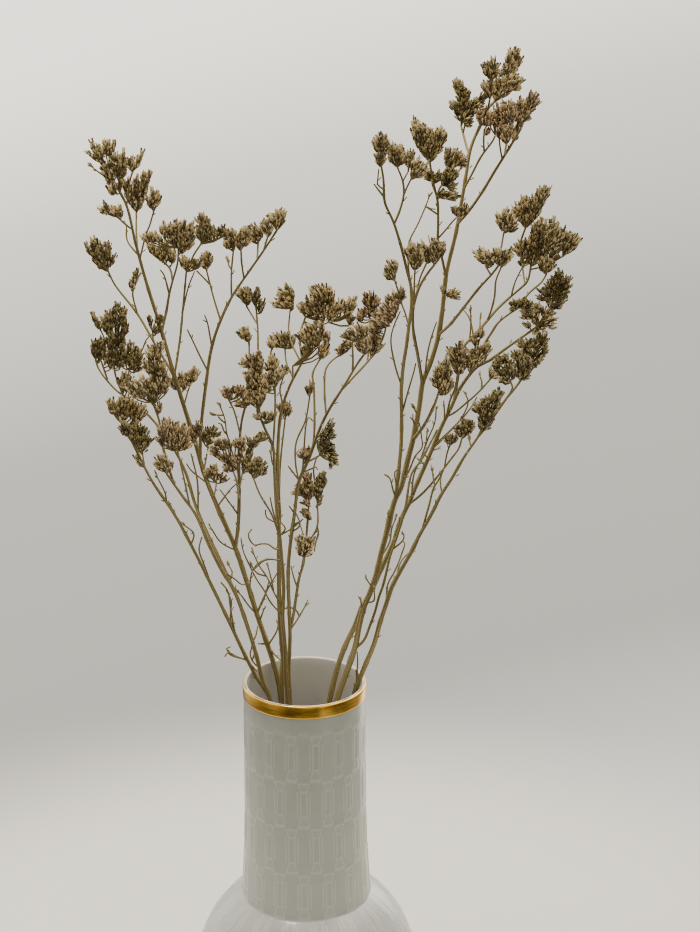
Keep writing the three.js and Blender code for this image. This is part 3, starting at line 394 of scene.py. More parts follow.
# Heights of the plain rings above the relief, and of those down the inside of the neck
COLLAR_HEIGHTS = (217, 220, 223, VASE_HEIGHT - BAND_HEIGHT, 226)
INNER_HEIGHTS = (226, 214, 195, 170, 145, 120, NECK_FOOT_HEIGHT)
FOOT_RING_SHARES = (0.3, 0.6, 0.85, 0.97)
FOOT_EDGE = 0.5
LIP_STEPS, INNER_LIP_STEPS, INNER_BODY_STEPS = 4, 3, 14
INNER_FLOOR_RING = 20
INSIDE = -1
print("relief columns:", COLUMNS)


# %% Vase profile
def mix(a, b, t):
    return a + (b - a) * t


def neck_radius(z):
    """The neck's plain outer radius: nearly straight, with a slow flare to its foot."""
    t = (VASE_HEIGHT - z) / (VASE_HEIGHT - NECK_FOOT_HEIGHT)
    top = RIM_RADIUS - BAND_STEP
    waist = top - (top - NECK_WAIST_RADIUS) * math.sin(math.pi * t)
    return waist + (NECK_FOOT_RADIUS - top) * t ** 3


def vase_rings():
    """Rings from the foot up the outside, over the lip and down inside: radius, height, row place.

    The row place counts relief rows from the top down. It is None where the wall is plain, and
    INSIDE on the inner side.
    """
    foot = math.sqrt(BODY_RADIUS ** 2 - BODY_CENTRE_HEIGHT ** 2)
    rings = [(foot * share, 0, None) for share in FOOT_RING_SHARES] + [(foot, FOOT_EDGE, None)]
    shoulder = math.acos((NECK_FOOT_HEIGHT - BODY_CENTRE_HEIGHT) / BODY_RADIUS)
    skirt = math.acos((BODY_ROWS_END_HEIGHT - BODY_CENTRE_HEIGHT) / BODY_RADIUS)
    steps = BODY_ROWS * STEPS_PER_BODY_ROW
    for i in range(steps, 0, -1):
        angle = mix(shoulder, skirt, i / steps)
        z = BODY_CENTRE_HEIGHT + BODY_RADIUS * math.cos(angle)
        rings.append((BODY_RADIUS * math.sin(angle), z, NECK_ROWS + i / STEPS_PER_BODY_ROW))
    steps = NECK_ROWS * STEPS_PER_NECK_ROW
    for i in range(steps, -1, -1):
        z = mix(RELIEF_START, NECK_FOOT_HEIGHT, i / steps)
        rings.append((neck_radius(z), z, i / STEPS_PER_NECK_ROW))
    top = VASE_HEIGHT - LIP_ROUND
    rings += [(neck_radius(z), z, None) for z in (*COLLAR_HEIGHTS, top)]
    for i in range(1, LIP_STEPS + 1):
        turn = math.pi / 2 * i / LIP_STEPS
        rings.append((neck_radius(top) - LIP_ROUND + LIP_ROUND * math.cos(turn),
                      top + LIP_ROUND * math.sin(turn), None))
    inner_rim = neck_radius(top) - WALL
    for i in range(INNER_LIP_STEPS + 1):
        turn = math.pi / 2 * i / INNER_LIP_STEPS
        rings.append((inner_rim + LIP_ROUND * (1 - math.sin(turn)), top + LIP_ROUND * math.cos(turn), INSIDE))
    rings += [(neck_radius(z) - WALL, z, INSIDE) for z in INNER_HEIGHTS]
    inside = BODY_RADIUS - WALL
    start = math.acos((NECK_FOOT_HEIGHT - WALL - BODY_CENTRE_HEIGHT) / inside)
    end = math.acos((INNER_FLOOR - BODY_CENTRE_HEIGHT) / inside)
    for i in range(INNER_BODY_STEPS + 1):
        angle = mix(start, end, i / INNER_BODY_STEPS)
        rings.append((inside * math.sin(angle), BODY_CENTRE_HEIGHT + inside * math.cos(angle), INSIDE))
    return rings + [(INNER_FLOOR_RING, INNER_FLOOR, INSIDE)]


print("vase rings:", len(vase_rings()))

# %% [markdown]
# Each relief cell is a slim hourglass: a small trapezoid that narrows downwards, a pair of upright
# fillets, and a trapezoid that widens downwards. Thin ridges outline them, and the areas inside
# stand a little proud. A row's cells sit half a cell away from the next row's.

# %% Relief rule
LINE_HEIGHT = 0.3
PLATEAU_HEIGHT = 0.04
LINE_WIDTH_COLUMNS = 0.7
# Where the parts of a cell start and end, as shares of its height from its top
TOP_PART, FILLET_PART, FOOT_PART = (
    (low / STEPS_PER_NECK_ROW, high / STEPS_PER_NECK_ROW) for low, high in ((1, 6), (6, 21), (21, 27))
)
# Half widths, in columns
TRAPEZOID_WIDE, TRAPEZOID_NARROW = 5.2, 2.6
FILLET_OUTER, FILLET_INNER = 6.0, 3.0
RIDGE_OVERRUN = 0.5
CELL_TALLNESS = 2.1
SEAM_SHARE = 0.5
# Keeps a ring on a part's edge within the part, whatever the rounding
SLACK = 0.005


def line(distance, height=LINE_HEIGHT):
    """The height of a thin ridge at a distance from its middle, in columns."""
    return height * math.exp(-(distance / LINE_WIDTH_COLUMNS) ** 2)


def relief(column, row):
    """The height of the relief at a column and a row place, in millimetres."""
    cell_row = math.floor(row)
    t = row - cell_row
    offset = COLUMNS_PER_CELL / 2 if cell_row % 2 else 0
    c = abs((column + offset) % COLUMNS_PER_CELL - COLUMNS_PER_CELL / 2)
    tall = COLUMNS_PER_CELL * CELL_TALLNESS
    height = 0.0
    for low, high, wide_low, wide_high in (
        (*TOP_PART, TRAPEZOID_WIDE, TRAPEZOID_NARROW),
        (*FOOT_PART, TRAPEZOID_NARROW, TRAPEZOID_WIDE),
    ):
        if low - SLACK < t < high + SLACK:
            edge = mix(wide_low, wide_high, (t - low) / (high - low))
            height = max(height, line(c - edge), PLATEAU_HEIGHT if c < edge else 0)
            if c < edge + RIDGE_OVERRUN:
                height = max(height, line((t - low) * tall), line((t - high) * tall))
    low, high = FILLET_PART
    if low - SLACK < t < high + SLACK:
        height = max(height, line(c - FILLET_OUTER), line(c - FILLET_INNER))
        if FILLET_INNER < c < FILLET_OUTER:
            height = max(height, PLATEAU_HEIGHT)
    if c > FILLET_OUTER:
        seam = SEAM_SHARE * LINE_HEIGHT
        height = max(height, line(t * tall, seam), line((1 - t) * tall, seam))
    return height


print("tallest relief:", LINE_HEIGHT, "mm")


# %% Turn the vase
def grid_piece(name, rings, columns, lift=None, closed=False):
    """A turned shell: its rings in order, closed by a point at each end, or back on the first ring."""
    points, raised_by, faces = [], [], []
    for radius, z, row in rings:
        for k in range(columns):
            h = lift(k, row) if lift and row is not None and row != INSIDE else 0.0
            turn = 2 * math.pi * k / columns
            points.append(((radius + h) * math.sin(turn), -(radius + h) * math.cos(turn), z))
            raised_by.append(h)
    for j in range(len(rings) if closed else len(rings) - 1):
        a, b = j * columns, ((j + 1) % len(rings)) * columns
        for k in range(columns):
            n = (k + 1) % columns
            faces.append((a + k, a + n, b + n, b + k))
    inner_by = [float(row == INSIDE) for _, _, row in rings for _ in range(columns)]
    if not closed:
        last = (len(rings) - 1) * columns
        for ring_start, z, flip in ((0, rings[0][1], True), (last, rings[-1][1], False)):
            for k in range(columns):
                edge = (ring_start + k, ring_start + (k + 1) % columns)
                faces.append((*(edge[::-1] if flip else edge), len(points)))
            points.append((0, 0, z))
            raised_by.append(0.0)
            inner_by.append(0.0 if flip else 1.0)
    mesh = bpy.data.meshes.new(name)
    mesh.from_pydata([Vector(p) * MM for p in points], [], faces)
    for layer, values in (("raised", [h / LINE_HEIGHT for h in raised_by]), ("inner", inner_by)):
        mesh.attributes.new(layer, "FLOAT", "POINT").data.foreach_set("value", values)
    mesh.shade_smooth()
    piece = bpy.data.objects.new(name, mesh)
    bpy.context.scene.collection.objects.link(piece)
    return piece


vase = grid_piece("vase_body", vase_rings(), COLUMNS, relief)
vase.data.materials.append(porcelain)
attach(vase, "root")
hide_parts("vase")
print("vase faces:", len(vase.data.polygons))

# %% [markdown]
# The gold band is a skin of paint, far thinner than a modelled wall. It is built as a slim closed
# ring that stands a third of a millimetre proud, so that it has an edge and catches its own light,
# and it runs over the lip and a little way down inside.

# %% Gilded band
BAND_COLUMNS = 192
BAND_SINK = 0.2
BAND_INNER_RADIUS = RIM_RADIUS - 1.35

band_low = VASE_HEIGHT - BAND_HEIGHT
band_rings = [
    (neck_radius(band_low) - BAND_SINK, band_low, None),
    (neck_radius(band_low) + 0.2, band_low + 0.05, None),
    (RIM_RADIUS - 0.03, band_low + 0.3, None),
    (RIM_RADIUS, band_low + 0.8, None),
    (RIM_RADIUS, VASE_HEIGHT - LIP_ROUND - 0.2, None),
    (RIM_RADIUS - 0.15, VASE_HEIGHT - 0.55, None),
    (RIM_RADIUS - 0.5, VASE_HEIGHT - 0.2, None),
    (RIM_RADIUS - 1.1, VASE_HEIGHT + 0.04, None),
    (BAND_INNER_RADIUS, VASE_HEIGHT - 0.35, None),
    (BAND_INNER_RADIUS, VASE_HEIGHT - 1.2, None),
]
band = grid_piece("vase_gilded_band", band_rings, BAND_COLUMNS, closed=True)
band.data.materials.append(gold)
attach(band, "root")
print("band rings:", len(band_rings))

# %% [markdown]
# ## How the bunch is laid out
# Each cut stem is a spray. Its stem and branches are drawn as routes on the sheet, with the depth
# that each one reaches. Its flower heads are drawn as the arms that fan out at the end of a branch,
# each one from its base to its tip. Bare twigs, which end in nothing or in a bud, are only here:
# they are too fine to matter to the solid model.

# %% Layout helpers
SPRIG_THICK, SPRIG_THIN = 1, 0.9
TWIG_THICK, TWIG_THIN = 1.0, 0.7

sprays = []


def groups(numbers, size):
    return [numbers[i:i + size] for i in range(0, len(numbers), size)]


def spray(name, foot, rim_depth):
    """A cut stem: its name, where its foot stands, and its depth where it leaves the rim."""
    sprays.append({"name": name, "foot": foot, "rim_depth": rim_depth, "limbs": {}, "tones": {}})


def limb(name, parent, thick, thin, depth, route, arms=()):
    """A stem or branch of the spray begun last, with its thickness at each end.

    Arms are those of its head, each by the sheet points of its base and its tip. They stand for
    the plain fan of spikes that the solid model has there.
    """
    sprays[-1]["limbs"][name] = {
        "parent": parent, "thick": thick, "thin": thin, "depth": depth, "route": groups(route, 2),
        "arms": groups(arms, 4),
    }


def sprig(name, parent, depth, route, arms=()):
    """A fine branch."""
    limb(name, parent, SPRIG_THICK, SPRIG_THIN, depth, route, arms)


def bare(parent, depth, route, bud=False):
    """A twig, finer still, that ends in nothing or in a bud."""
    name = f"bare {len(sprays[-1]['limbs'])}"
    limb(name, parent, TWIG_THICK, TWIG_THIN, depth, route)
    sprays[-1]["limbs"][name]["bud"] = bud
    return name


def tone(kind, *names):
    """The colour of some heads: "golden", "brown" or "dark". The name "" means the others."""
    for name in names:
        sprays[-1]["tones"][name] = kind


def tell_spray():
    print(sprays[-1]["name"], len(sprays[-1]["limbs"]), "limbs")


print("layout helpers ready")

# %% Outer left spray
spray("spray_outer_left", [22, 14], 12)
limb("stem", "", 2.2, 1.1, 0, [-19, -10, -26.5, 2, -33, 14.5, -42, 33.5, -50, 50, -60, 70, -71, 90.5, -84,
    110, -92, 125.5, -100, 141], [-105, 147, -109, 154.5, -104, 146, -106.5, 154.5, -103, 145, -104, 153,
    -102, 144, -101.5, 156, -101, 143, -99, 156.5, -100, 143, -97, 156, -99, 144, -94, 155.5, -98, 144, -92,
    154, -96, 143.5, -89.5, 152.5, -95, 142, -87.5, 150, -95, 141, -86, 147.5, -105, 146.5, -108, 149, -89,
    117.5, -94, 123])
sprig("inner head", "stem", -12, [-84, 110, -88, 118, -89, 124], [-97, 134, -102.5, 139, -97, 134, -99, 142,
    -95.5, 132, -96, 141, -94, 131, -93, 142, -93, 129, -90, 141, -92, 128, -87, 139, -91, 127, -85, 136, -90,
    126.5, -83, 132.5, -89, 126, -86, 132, -98, 136, -101, 143])
limb("bare fork", "stem", 1.1, 0.9, -4, [-37.5, 25, -40.5, 38, -42.4, 49.5, -46, 54])
sprig("bare rise", "stem", -2, [-51.5, 53, -55, 63, -58, 72, -56.5, 79])
tone("dark", "inner head")
bare("stem", 6, [-32, 10.5, -38, 13.5, -42, 15.5, -44, 13])
bare("stem", 10, [-31, 9.5, -26, 5])
bare("stem", -4, [-59.5, 76, -61, 81, -67, 86], bud=True)
bare("stem", 2, [-74.5, 99, -76.5, 102.5, -81.6, 113], bud=True)
bare("stem", 0, [-70, 89, -74, 97], bud=True)
bare("stem", -2, [-36.8, 23, -40.8, 33.9, -40.3, 43.8, -43.2, 49.8])
fork = bare("stem", 4, [-30, 11, -33.5, 11.8, -39.5, 13.5, -41.8, 16.2], bud=True)
bare(fork, 2, [-38, 13, -41, 14.2, -42.6, 17.8, -40.8, 18.6])
tell_spray()

# %% Inner left spray
spray("spray_inner_left", [18, 3], 3)
limb("stem", "", 2.5, 1.2, -28, [-19, -10, -23, 0, -25.5, 10, -30, 25.5, -38.5, 49, -46, 61.5, -52, 73.5, -60,
    91.5, -67.5, 102, -76, 114], [-77, 115, -83.5, 119.5, -76.5, 115.5, -82, 122, -76, 115, -80.5, 124, -75,
    115, -78, 123.5, -74.5, 116, -75.5, 121, -74, 115.5, -72.5, 120])
limb("front head", "stem", 1.1, 0.9, -40, [-62.5, 96, -67.2, 115, -70, 127], [-77, 128, -82, 133, -77, 130,
    -81, 140, -76, 131, -78, 143.5, -75, 131, -75.5, 144, -73, 130, -74, 140, -72, 129, -71.5, 142, -71, 128,
    -69, 141.5, -70, 127.5, -66, 141, -69.5, 127, -64, 138.5, -69, 127, -62.5, 134, -69, 126.5, -62, 129, -73,
    126.5, -76, 131])
limb("golden head", "stem", 1.4, 1.1, -18, [-72, 108, -75, 118, -77.5, 127, -80, 143, -83.5, 153], [-84, 176,
    -88, 181, -83, 177, -85.5, 183, -82, 178, -83, 184, -80, 179, -80.5, 185.5, -79, 180, -78.5, 185.5, -81,
    176, -80, 182, -85, 168, -88.5, 176, -84, 168, -85, 176.5, -82, 168, -82, 176, -80, 167, -79.5, 175.5,
    -79, 167, -77, 174.5, -78, 166, -75.5, 171, -77, 164, -74.5, 168, -85, 160, -91, 168, -85, 158, -90, 164,
    -83, 158, -85, 168, -81, 157, -81, 167, -79, 157, -78, 166, -77, 157, -75, 164, -84, 154, -88.5, 161, -82,
    153, -83, 160, -88, 155, -93, 165, -89, 155, -96, 163, -91, 154, -98, 160, -80, 147, -80.5, 154])
limb("back stem", "stem", 2, 1, 24, [-38.5, 49, -46.5, 66.5, -53.5, 81, -60, 96.5, -66, 116, -76, 134, -90,
    150, -100, 157], [-100.5, 159, -102.5, 166, -99.5, 158.5, -100, 170, -98, 158, -97, 168, -96.5, 157.5,
    -94.5, 166.5, -95, 157, -93, 163])
sprig("back outer", "back stem", 34, [-100, 157, -104, 160, -113.5, 172, -116, 182], [-115, 177, -117, 184.5,
    -114.5, 177, -115, 187, -113.5, 176, -112.5, 188.5, -113, 175, -109, 187.5, -114.5, 179, -116.5, 187,
    -112.5, 175.5, -110, 182])
sprig("back top", "back stem", 22, [-100, 157, -104, 168, -105.5, 180], [-112, 192.5, -117.5, 202, -108, 190,
    -111.5, 199, -107, 192, -110, 203.5, -106, 193, -107, 203.5, -106, 190, -112, 196.5, -104, 193, -104, 201,
    -103, 195, -104.5, 207, -101.5, 196, -102.5, 207.5, -100.5, 194, -99, 205, -100, 192, -99, 200, -99, 190,
    -97, 196.5, -100, 188, -98, 193, -105, 182, -107, 193, -103, 182, -103, 194, -101, 182, -99.5, 192, -106,
    183, -110, 188, -104.5, 173, -108, 183, -103, 172, -104, 184, -102, 171, -100.5, 183])
sprig("back side", "back outer", 26, [-109, 165, -112, 176], [-109.5, 174, -110.5, 181, -108, 173, -107, 181,
    -107, 171, -105, 178])
sprig("back right", "back stem", 14, [-100, 157, -98, 165, -96, 172], [-100, 172, -100, 187, -98, 172, -96,
    187, -96, 171, -93.5, 184.5, -95, 171, -91, 183, -94, 171, -89.5, 181, -93, 172, -88.5, 176, -94, 169.5,
    -88.5, 171.5, -97, 174, -99, 181])
bare("back right", 10, [-91, 176, -88.8, 183, -87.3, 187, -84.3, 190.5])
tone("brown", "front head")
tone("dark", "back top", "back outer", "back side", "back right")
bare("back stem", 6, [-58.5, 93, -59, 110, -62.5, 125])
bare("stem", 2, [-27.4, 21.1, -26.4, 26, -25.9, 30])
bare("stem", -4, [-37.8, 55.7, -39.8, 59.7, -41.9, 63.8], bud=True)
bare("stem", -6, [-43.7, 61, -38.8, 56.2, -34.3, 52.7, -32, 53.2], bud=True)
fork = bare("stem", 0, [-25.4, 6.2, -28.9, 11.2, -29.9, 15.1, -28.7, 18.6], bud=True)
bare(fork, 0, [-28.9, 11.2, -27.6, 14.4, -27.9, 17])
tell_spray()

# %% Tall left spray
spray("spray_tall_left", [14, 24], 22)
limb("stem", "", 3.1, 1.2, 40, [-13, -10, -14.5, 0, -17.5, 11, -21.5, 23, -26, 36, -31, 52, -38, 73, -47,
    93.5, -54.5, 112, -60.5, 132.5, -66.5, 151.5, -72.5, 171, -79, 193.5, -87, 219, -93, 241, -98, 261.5,
    -104.5, 274, -107, 281], [-112, 285, -121, 291, -112, 286, -118, 296.5, -111, 287, -114, 295, -109, 288,
    -110.5, 297, -107.5, 288, -108.5, 297.5, -106.5, 289, -104, 297, -109, 281, -114, 288, -105.5, 281, -107,
    290, -103.5, 282, -103, 290.5, -101.5, 281, -99, 291.5, -100, 281, -97, 286, -106, 275, -112.5, 281, -105,
    271.5, -110, 277, -103, 267.5, -108.5, 271.5, -102, 269, -100.5, 276.5, -108, 277, -111, 285, -104, 276,
    -105.5, 283])
sprig("top right", "stem", 46, [-101.5, 268, -101.5, 279], [-102, 275, -103.5, 283, -101.5, 279, -98.5, 287,
    -101, 276, -99.5, 284])
sprig("top bud", "stem", 34, [-98, 261, -95.5, 277, -93.5, 282], [-94.5, 280.5, -95, 288.5, -93.5, 281, -88.5,
    291, -95, 280, -97.5, 287])
sprig("top spur", "stem", 34, [-104, 273, -106, 268], [-106, 267, -109, 271, -105.5, 267, -106.5, 272.5, -105,
    267, -103.8, 272])
limb("upper right", "stem", 1.1, 0.9, 52, [-92, 237, -92.5, 247, -92.5, 257.5], [-93, 258.5, -98, 266, -93,
    261, -97.5, 272, -92, 263, -94.5, 275, -91, 265, -92.5, 278, -90, 265, -89.5, 274, -89, 269, -84, 281,
    -89, 269, -88, 280.5, -90.5, 261, -86, 273, -91.5, 259, -88.5, 266, -94.5, 262, -99.5, 270, -96, 266,
    -101, 274, -97, 269, -97.5, 277])
sprig("upper far right", "stem", 30, [-90.5, 232, -87, 246, -85.3, 250, -83, 258], [-83.5, 259, -87.5, 266,
    -83, 260, -84, 270.5, -82, 261, -81.5, 269.5, -82, 260, -79.5, 267])
sprig("upper left comb", "stem", 28, [-95, 248, -98, 250.5, -103, 255], [-101, 254, -101, 261.5, -102.5,
    254.5, -104.5, 260.5, -104.5, 255.5, -107.5, 261, -106, 256, -111, 262, -108, 256.5, -113.5, 259.5])
limb("left arm", "stem", 1.5, 1, 58, [-70.5, 164, -75, 173, -81, 183, -91.8, 201.5, -104.5, 218, -108, 225],
    [-112, 228, -121, 240.5, -112.5, 230, -118, 243.5, -112, 231, -115.5, 243.5, -110.5, 228, -112, 241.5,
    -109.5, 229, -107, 241, -109.5, 228, -109.5, 240, -108.5, 227, -106.5, 236, -108, 227, -103, 234.5,
    -110.5, 226, -116.5, 230, -111, 227, -113, 235])
sprig("left arm bud", "left arm", 48, [-91.8, 201.5, -94.5, 213, -92.5, 219], [-94, 218.5, -92.5, 223, -93,
    221, -92, 226.5, -95, 214.5, -96, 219])
sprig("left arm sprig", "left arm", 34, [-83, 187, -83.5, 192], [-84.5, 194, -86, 200.5, -83.5, 191, -81.5,
    194.5, -82, 190, -81, 194, -81, 195, -80.5, 201, -80, 196, -78, 200])
limb("mid arm", "stem", 1.6, 1.2, 16, [-77.8, 192, -76, 203, -74.3, 213, -72.5, 220])
limb("mid arm left", "mid arm", 1.1, 0.9, 22, [-72.5, 219.5, -74, 226.5, -83, 234], [-83.5, 234.5, -87.5, 240,
    -81.5, 233, -84.5, 240, -79.5, 232, -81.5, 238.5, -77.5, 230.5, -79.5, 240, -76, 230, -77, 241.5, -75.5,
    231, -75.5, 242, -73, 229, -74.5, 237.5, -72.5, 230, -71.5, 236.5])
limb("mid arm right", "mid arm", 1.1, 0.9, 8, [-72.5, 219.5, -69.8, 230, -69.5, 238], [-75, 242.5, -77.5,
    251.5, -73.5, 242, -74.5, 252, -72, 240.5, -72, 252, -70.5, 240, -70, 253, -69, 240, -67.5, 253, -68, 240,
    -65.5, 253, -66.5, 240, -63, 251.5, -65.5, 241, -61, 252.5, -66, 238, -60.5, 249, -66, 237, -60, 244.5,
    -67, 236, -62, 240, -68, 235, -63, 237, -69, 236, -65, 246, -70, 238, -73, 246, -77, 243, -80, 250.5, -79,
    241.5, -83, 247, -80.5, 241, -85.5, 246.5, -82.5, 240.5, -88, 245, -85, 240, -90, 243.5])
limb("inner arm", "stem", 1.3, 1, 0, [-71, 168, -68.6, 187, -66.4, 210, -65, 225], [-65.5, 226, -69.5, 231.5,
    -65, 227, -67, 233.5, -63.5, 227, -64.5, 231.5, -62, 227, -61.5, 231.5, -61, 226, -59, 231.5, -60.5, 226,
    -56.5, 229.5])
sprig("inner arm top", "inner arm", -8, [-65, 224, -61, 234, -57, 240], [-55, 244, -59, 249.5, -54, 248, -60,
    253.5, -54.5, 249, -58.5, 255.5, -54, 250, -56.5, 256, -53.5, 249, -54.5, 255, -53, 246, -53, 251, -57,
    242, -60, 247, -57, 242, -58.5, 249.5, -56, 241, -57, 248, -55, 241, -54.5, 249, -53, 242, -52, 250,
    -51.5, 242, -51, 249.5, -50, 242.5, -49, 249, -48, 243.5, -47.5, 248.5, -46, 244, -44.5, 249.5, -45, 244,
    -43, 247.5])
sprig("low bud a", "stem", 12, [-66.5, 151, -63.5, 161, -61.5, 165], [-63.5, 162, -67, 168, -63.5, 162, -64.5,
    169, -63, 163, -62, 171, -62.5, 163, -60.5, 172.5, -62, 164, -58, 169.5])
sprig("low bud b", "stem", 42, [-68, 157, -70.5, 162], [-71, 160, -74.5, 165, -70.5, 161, -72, 167, -68.5,
    161, -68.5, 169.5, -67, 159, -66.5, 168, -66, 160, -65, 166])
sprig("low bud c", "stem", 12, [-59.5, 129, -60, 134], [-60.5, 133, -62.5, 140.5, -60, 134, -59, 142.5, -59.5,
    133, -57, 141, -61, 131, -64, 136])
sprig("low bud d", "stem", 12, [-55.5, 115, -54, 123, -53, 128], [-55, 130, -54.5, 139, -54, 132, -52.5, 139,
    -53, 132, -50, 139, -52, 133, -48, 138.5, -52, 133.5, -46.5, 135.5, -55.5, 131, -56.5, 136, -53, 130, -51,
    136])
sprig("low bud e", "stem", 12, [-50, 101, -49, 105, -48.5, 109], [-51, 111, -54.5, 115.5, -51, 112, -51.5,
    118, -50.5, 112, -49.5, 118.5, -49.5, 111, -48.5, 116.5, -48.5, 110.5, -45, 113.5, -53, 110, -55.5, 114,
    -46.5, 108.5, -42.5, 111.5])
limb("right arm", "stem", 1.9, 1.1, -12, [-57.5, 122, -57, 138, -54.2, 163, -51, 183.5, -46, 198.5, -40, 211,
    -33, 221.5, -22.5, 236.5, -15, 248], [-15.5, 249, -20.5, 255.5, -15.5, 250, -18.5, 257, -15, 250, -16.5,
    256.5, -14.5, 250, -15.5, 258.5, -14, 251, -13.5, 259, -13, 251, -11.5, 258.5, -13, 250, -10.5, 257, -16,
    248.5, -17.5, 253.5])
sprig("right arm a", "right arm", -20, [-22.5, 236.5, -20, 245], [-19.5, 244.5, -24, 251.5, -19.5, 246, -22,
    253.5, -19.5, 246, -20.5, 253, -19, 245, -18.5, 250.5, -20.5, 246, -22.5, 249])
sprig("right arm b", "right arm", 0, [-26, 231.5, -25.5, 241], [-27, 240.5, -30.5, 242.5, -26.5, 241, -30,
    244.5, -26, 242, -29.5, 247.5, -26, 243, -30.5, 249.5, -25.5, 243, -28, 250, -25, 243, -26, 250, -24,
    243.5, -23.5, 249.5])
sprig("right arm c", "right arm", -16, [-33.2, 221, -34.5, 229, -35, 237], [-36, 237, -38, 243.5, -36, 238,
    -36.5, 246, -35.5, 240, -34.5, 248.5, -34.5, 239, -31, 243, -33.5, 239, -29, 241.5, -34, 242, -33, 249,
    -33, 243, -31, 249.5])
sprig("right arm d", "right arm", 4, [-40.2, 210.5, -40.2, 225, -39.2, 236], [-40.5, 237, -45.5, 240, -40,
    238, -44, 243.5, -39, 238, -41, 243.5, -41, 241, -43.5, 247, -40, 240, -41, 249, -39, 240, -39.5, 248.5,
    -38, 240, -37.5, 247])
limb("right arm e", "right arm", 1.1, 0.9, 14, [-46.2, 198, -50, 210.5, -54, 226], [-53.5, 227, -57, 234, -53,
    228, -55.5, 235.5, -53, 228, -53, 235.5, -52.5, 228, -50.5, 232.5, -54, 226, -57, 229])
limb("front arm", "stem", 2.3, 1.2, 4, [-38, 73, -36.5, 85, -36, 101, -36, 127, -34.5, 143, -32.5, 151], [-32,
    150.5, -38.5, 151.5, -32, 151.5, -37.5, 154.5, -31, 152, -35, 157, -30, 152, -31.5, 158])
sprig("front arm left", "front arm", -8, [-35.5, 135, -39, 149, -41.5, 154], [-42, 155, -46.5, 158.5, -41,
    155, -45, 160, -40, 155.5, -42.5, 161, -37.5, 156.5, -38.5, 162, -36.5, 157, -36, 163, -35.5, 157, -34,
    161.5, -34.5, 156, -32.5, 160])
limb("front low left", "front arm", 1.1, 1, -16, [-36, 100, -37.5, 110, -40, 117], [-48, 125.5, -52.5, 124.5,
    -47, 126, -52.5, 129, -45, 126.5, -50, 132, -43.5, 126.5, -47.5, 133, -42, 127, -44.5, 133.5, -41, 127,
    -42, 132, -38, 128, -38.5, 132, -44, 120.5, -49.5, 123.5, -43.5, 120, -47, 125, -43, 120, -43.5, 124.5,
    -41, 115, -44.5, 118, -40, 115, -42.5, 119.5, -39, 116, -39.5, 123, -38, 116, -37, 124, -36, 126, -36,
    132.5, -34, 126, -33.5, 133, -35, 120, -34.5, 128])
limb("front low right", "front arm", 1.1, 1, -2, [-36, 105, -34, 115], [-32, 115, -31.5, 123, -31, 116, -30,
    125.5, -33, 114, -34, 121, -30, 115, -28, 122, -32, 124, -28.5, 128.5, -29, 127, -32, 133.5, -28.5, 128,
    -29, 132.5, -28, 128, -26.5, 131.5])
bare("right arm d", 8, [-40.3, 226, -41.5, 228, -42.2, 231], bud=True)
tone("brown", "low bud b", "low bud c", "front arm", "front arm left", "front low left")
tone("dark", "left arm sprig", "low bud d", "front low right", "left arm", "inner arm top")
bare("stem", 44, [-92, 233, -97.5, 242, -98, 250])
bare("mid arm", 18, [-74.6, 212.5, -77.5, 223.5, -79.5, 226])
bare("inner arm", -2, [-66.2, 202, -64, 216, -60.5, 225])
bare("right arm e", 12, [-52.5, 217.5, -54.5, 220.5, -59.5, 225.5])
bare("right arm", -2, [-53.8, 170, -58, 179.5, -62, 188, -64.5, 193])
bare("right arm", -6, [-51, 183.5, -53.5, 197, -55, 201])
bare("stem", 10, [-48.5, 95.5, -40, 106, -37, 108.5])
bare("stem", 14, [-38.5, 71, -46, 76, -51.5, 84], bud=True)
bare("stem", 12, [-25, 37, -22, 46, -19.5, 55])
bare("stem", 16, [-19, 19.5, -15, 28, -14.5, 35])
bare("stem", 18, [-18, 18, -13, 11])
bare("stem", -2, [-29.9, 49.8, -28.9, 59.7, -25.4, 64.6, -21.9, 66.6], bud=True)
bare("stem", 4, [-25.4, 37.4, -22.9, 44.8, -19.5, 51.7, -15, 59.2])
bare("stem", 0, [-26.4, 35.9, -30.9, 41.4, -34.8, 46.8, -36.8, 48.8], bud=True)
bare("stem", 6, [-21, 33.9, -22.4, 38.9], bud=True)
bare("stem", 2, [-19.5, 20.1, -21.4, 19.9, -23.1, 20.3], bud=True)
bare("stem", 20, [-53, 108, -62.5, 115.7, -64.9, 119.3])
fork = bare("front arm", -20, [-37, 112, -40.5, 128, -43, 137, -43.5, 142, -44.5, 146, -46.5, 151], bud=True)
bare(fork, -20, [-44.5, 146, -48, 146, -50, 146.6], bud=True)
bare(fork, -22, [-43.7, 141.5, -46, 143.5, -47.5, 145.2])
bare(fork, -18, [-43.2, 135, -44.5, 137.5, -45.8, 141, -47.5, 141.6])
bare("front arm", 0, [-37, 91, -42.5, 99.5, -46.5, 105])
bare("stem", 38, [-105, 275, -111, 278, -117.5, 283], bud=True)
tell_spray()

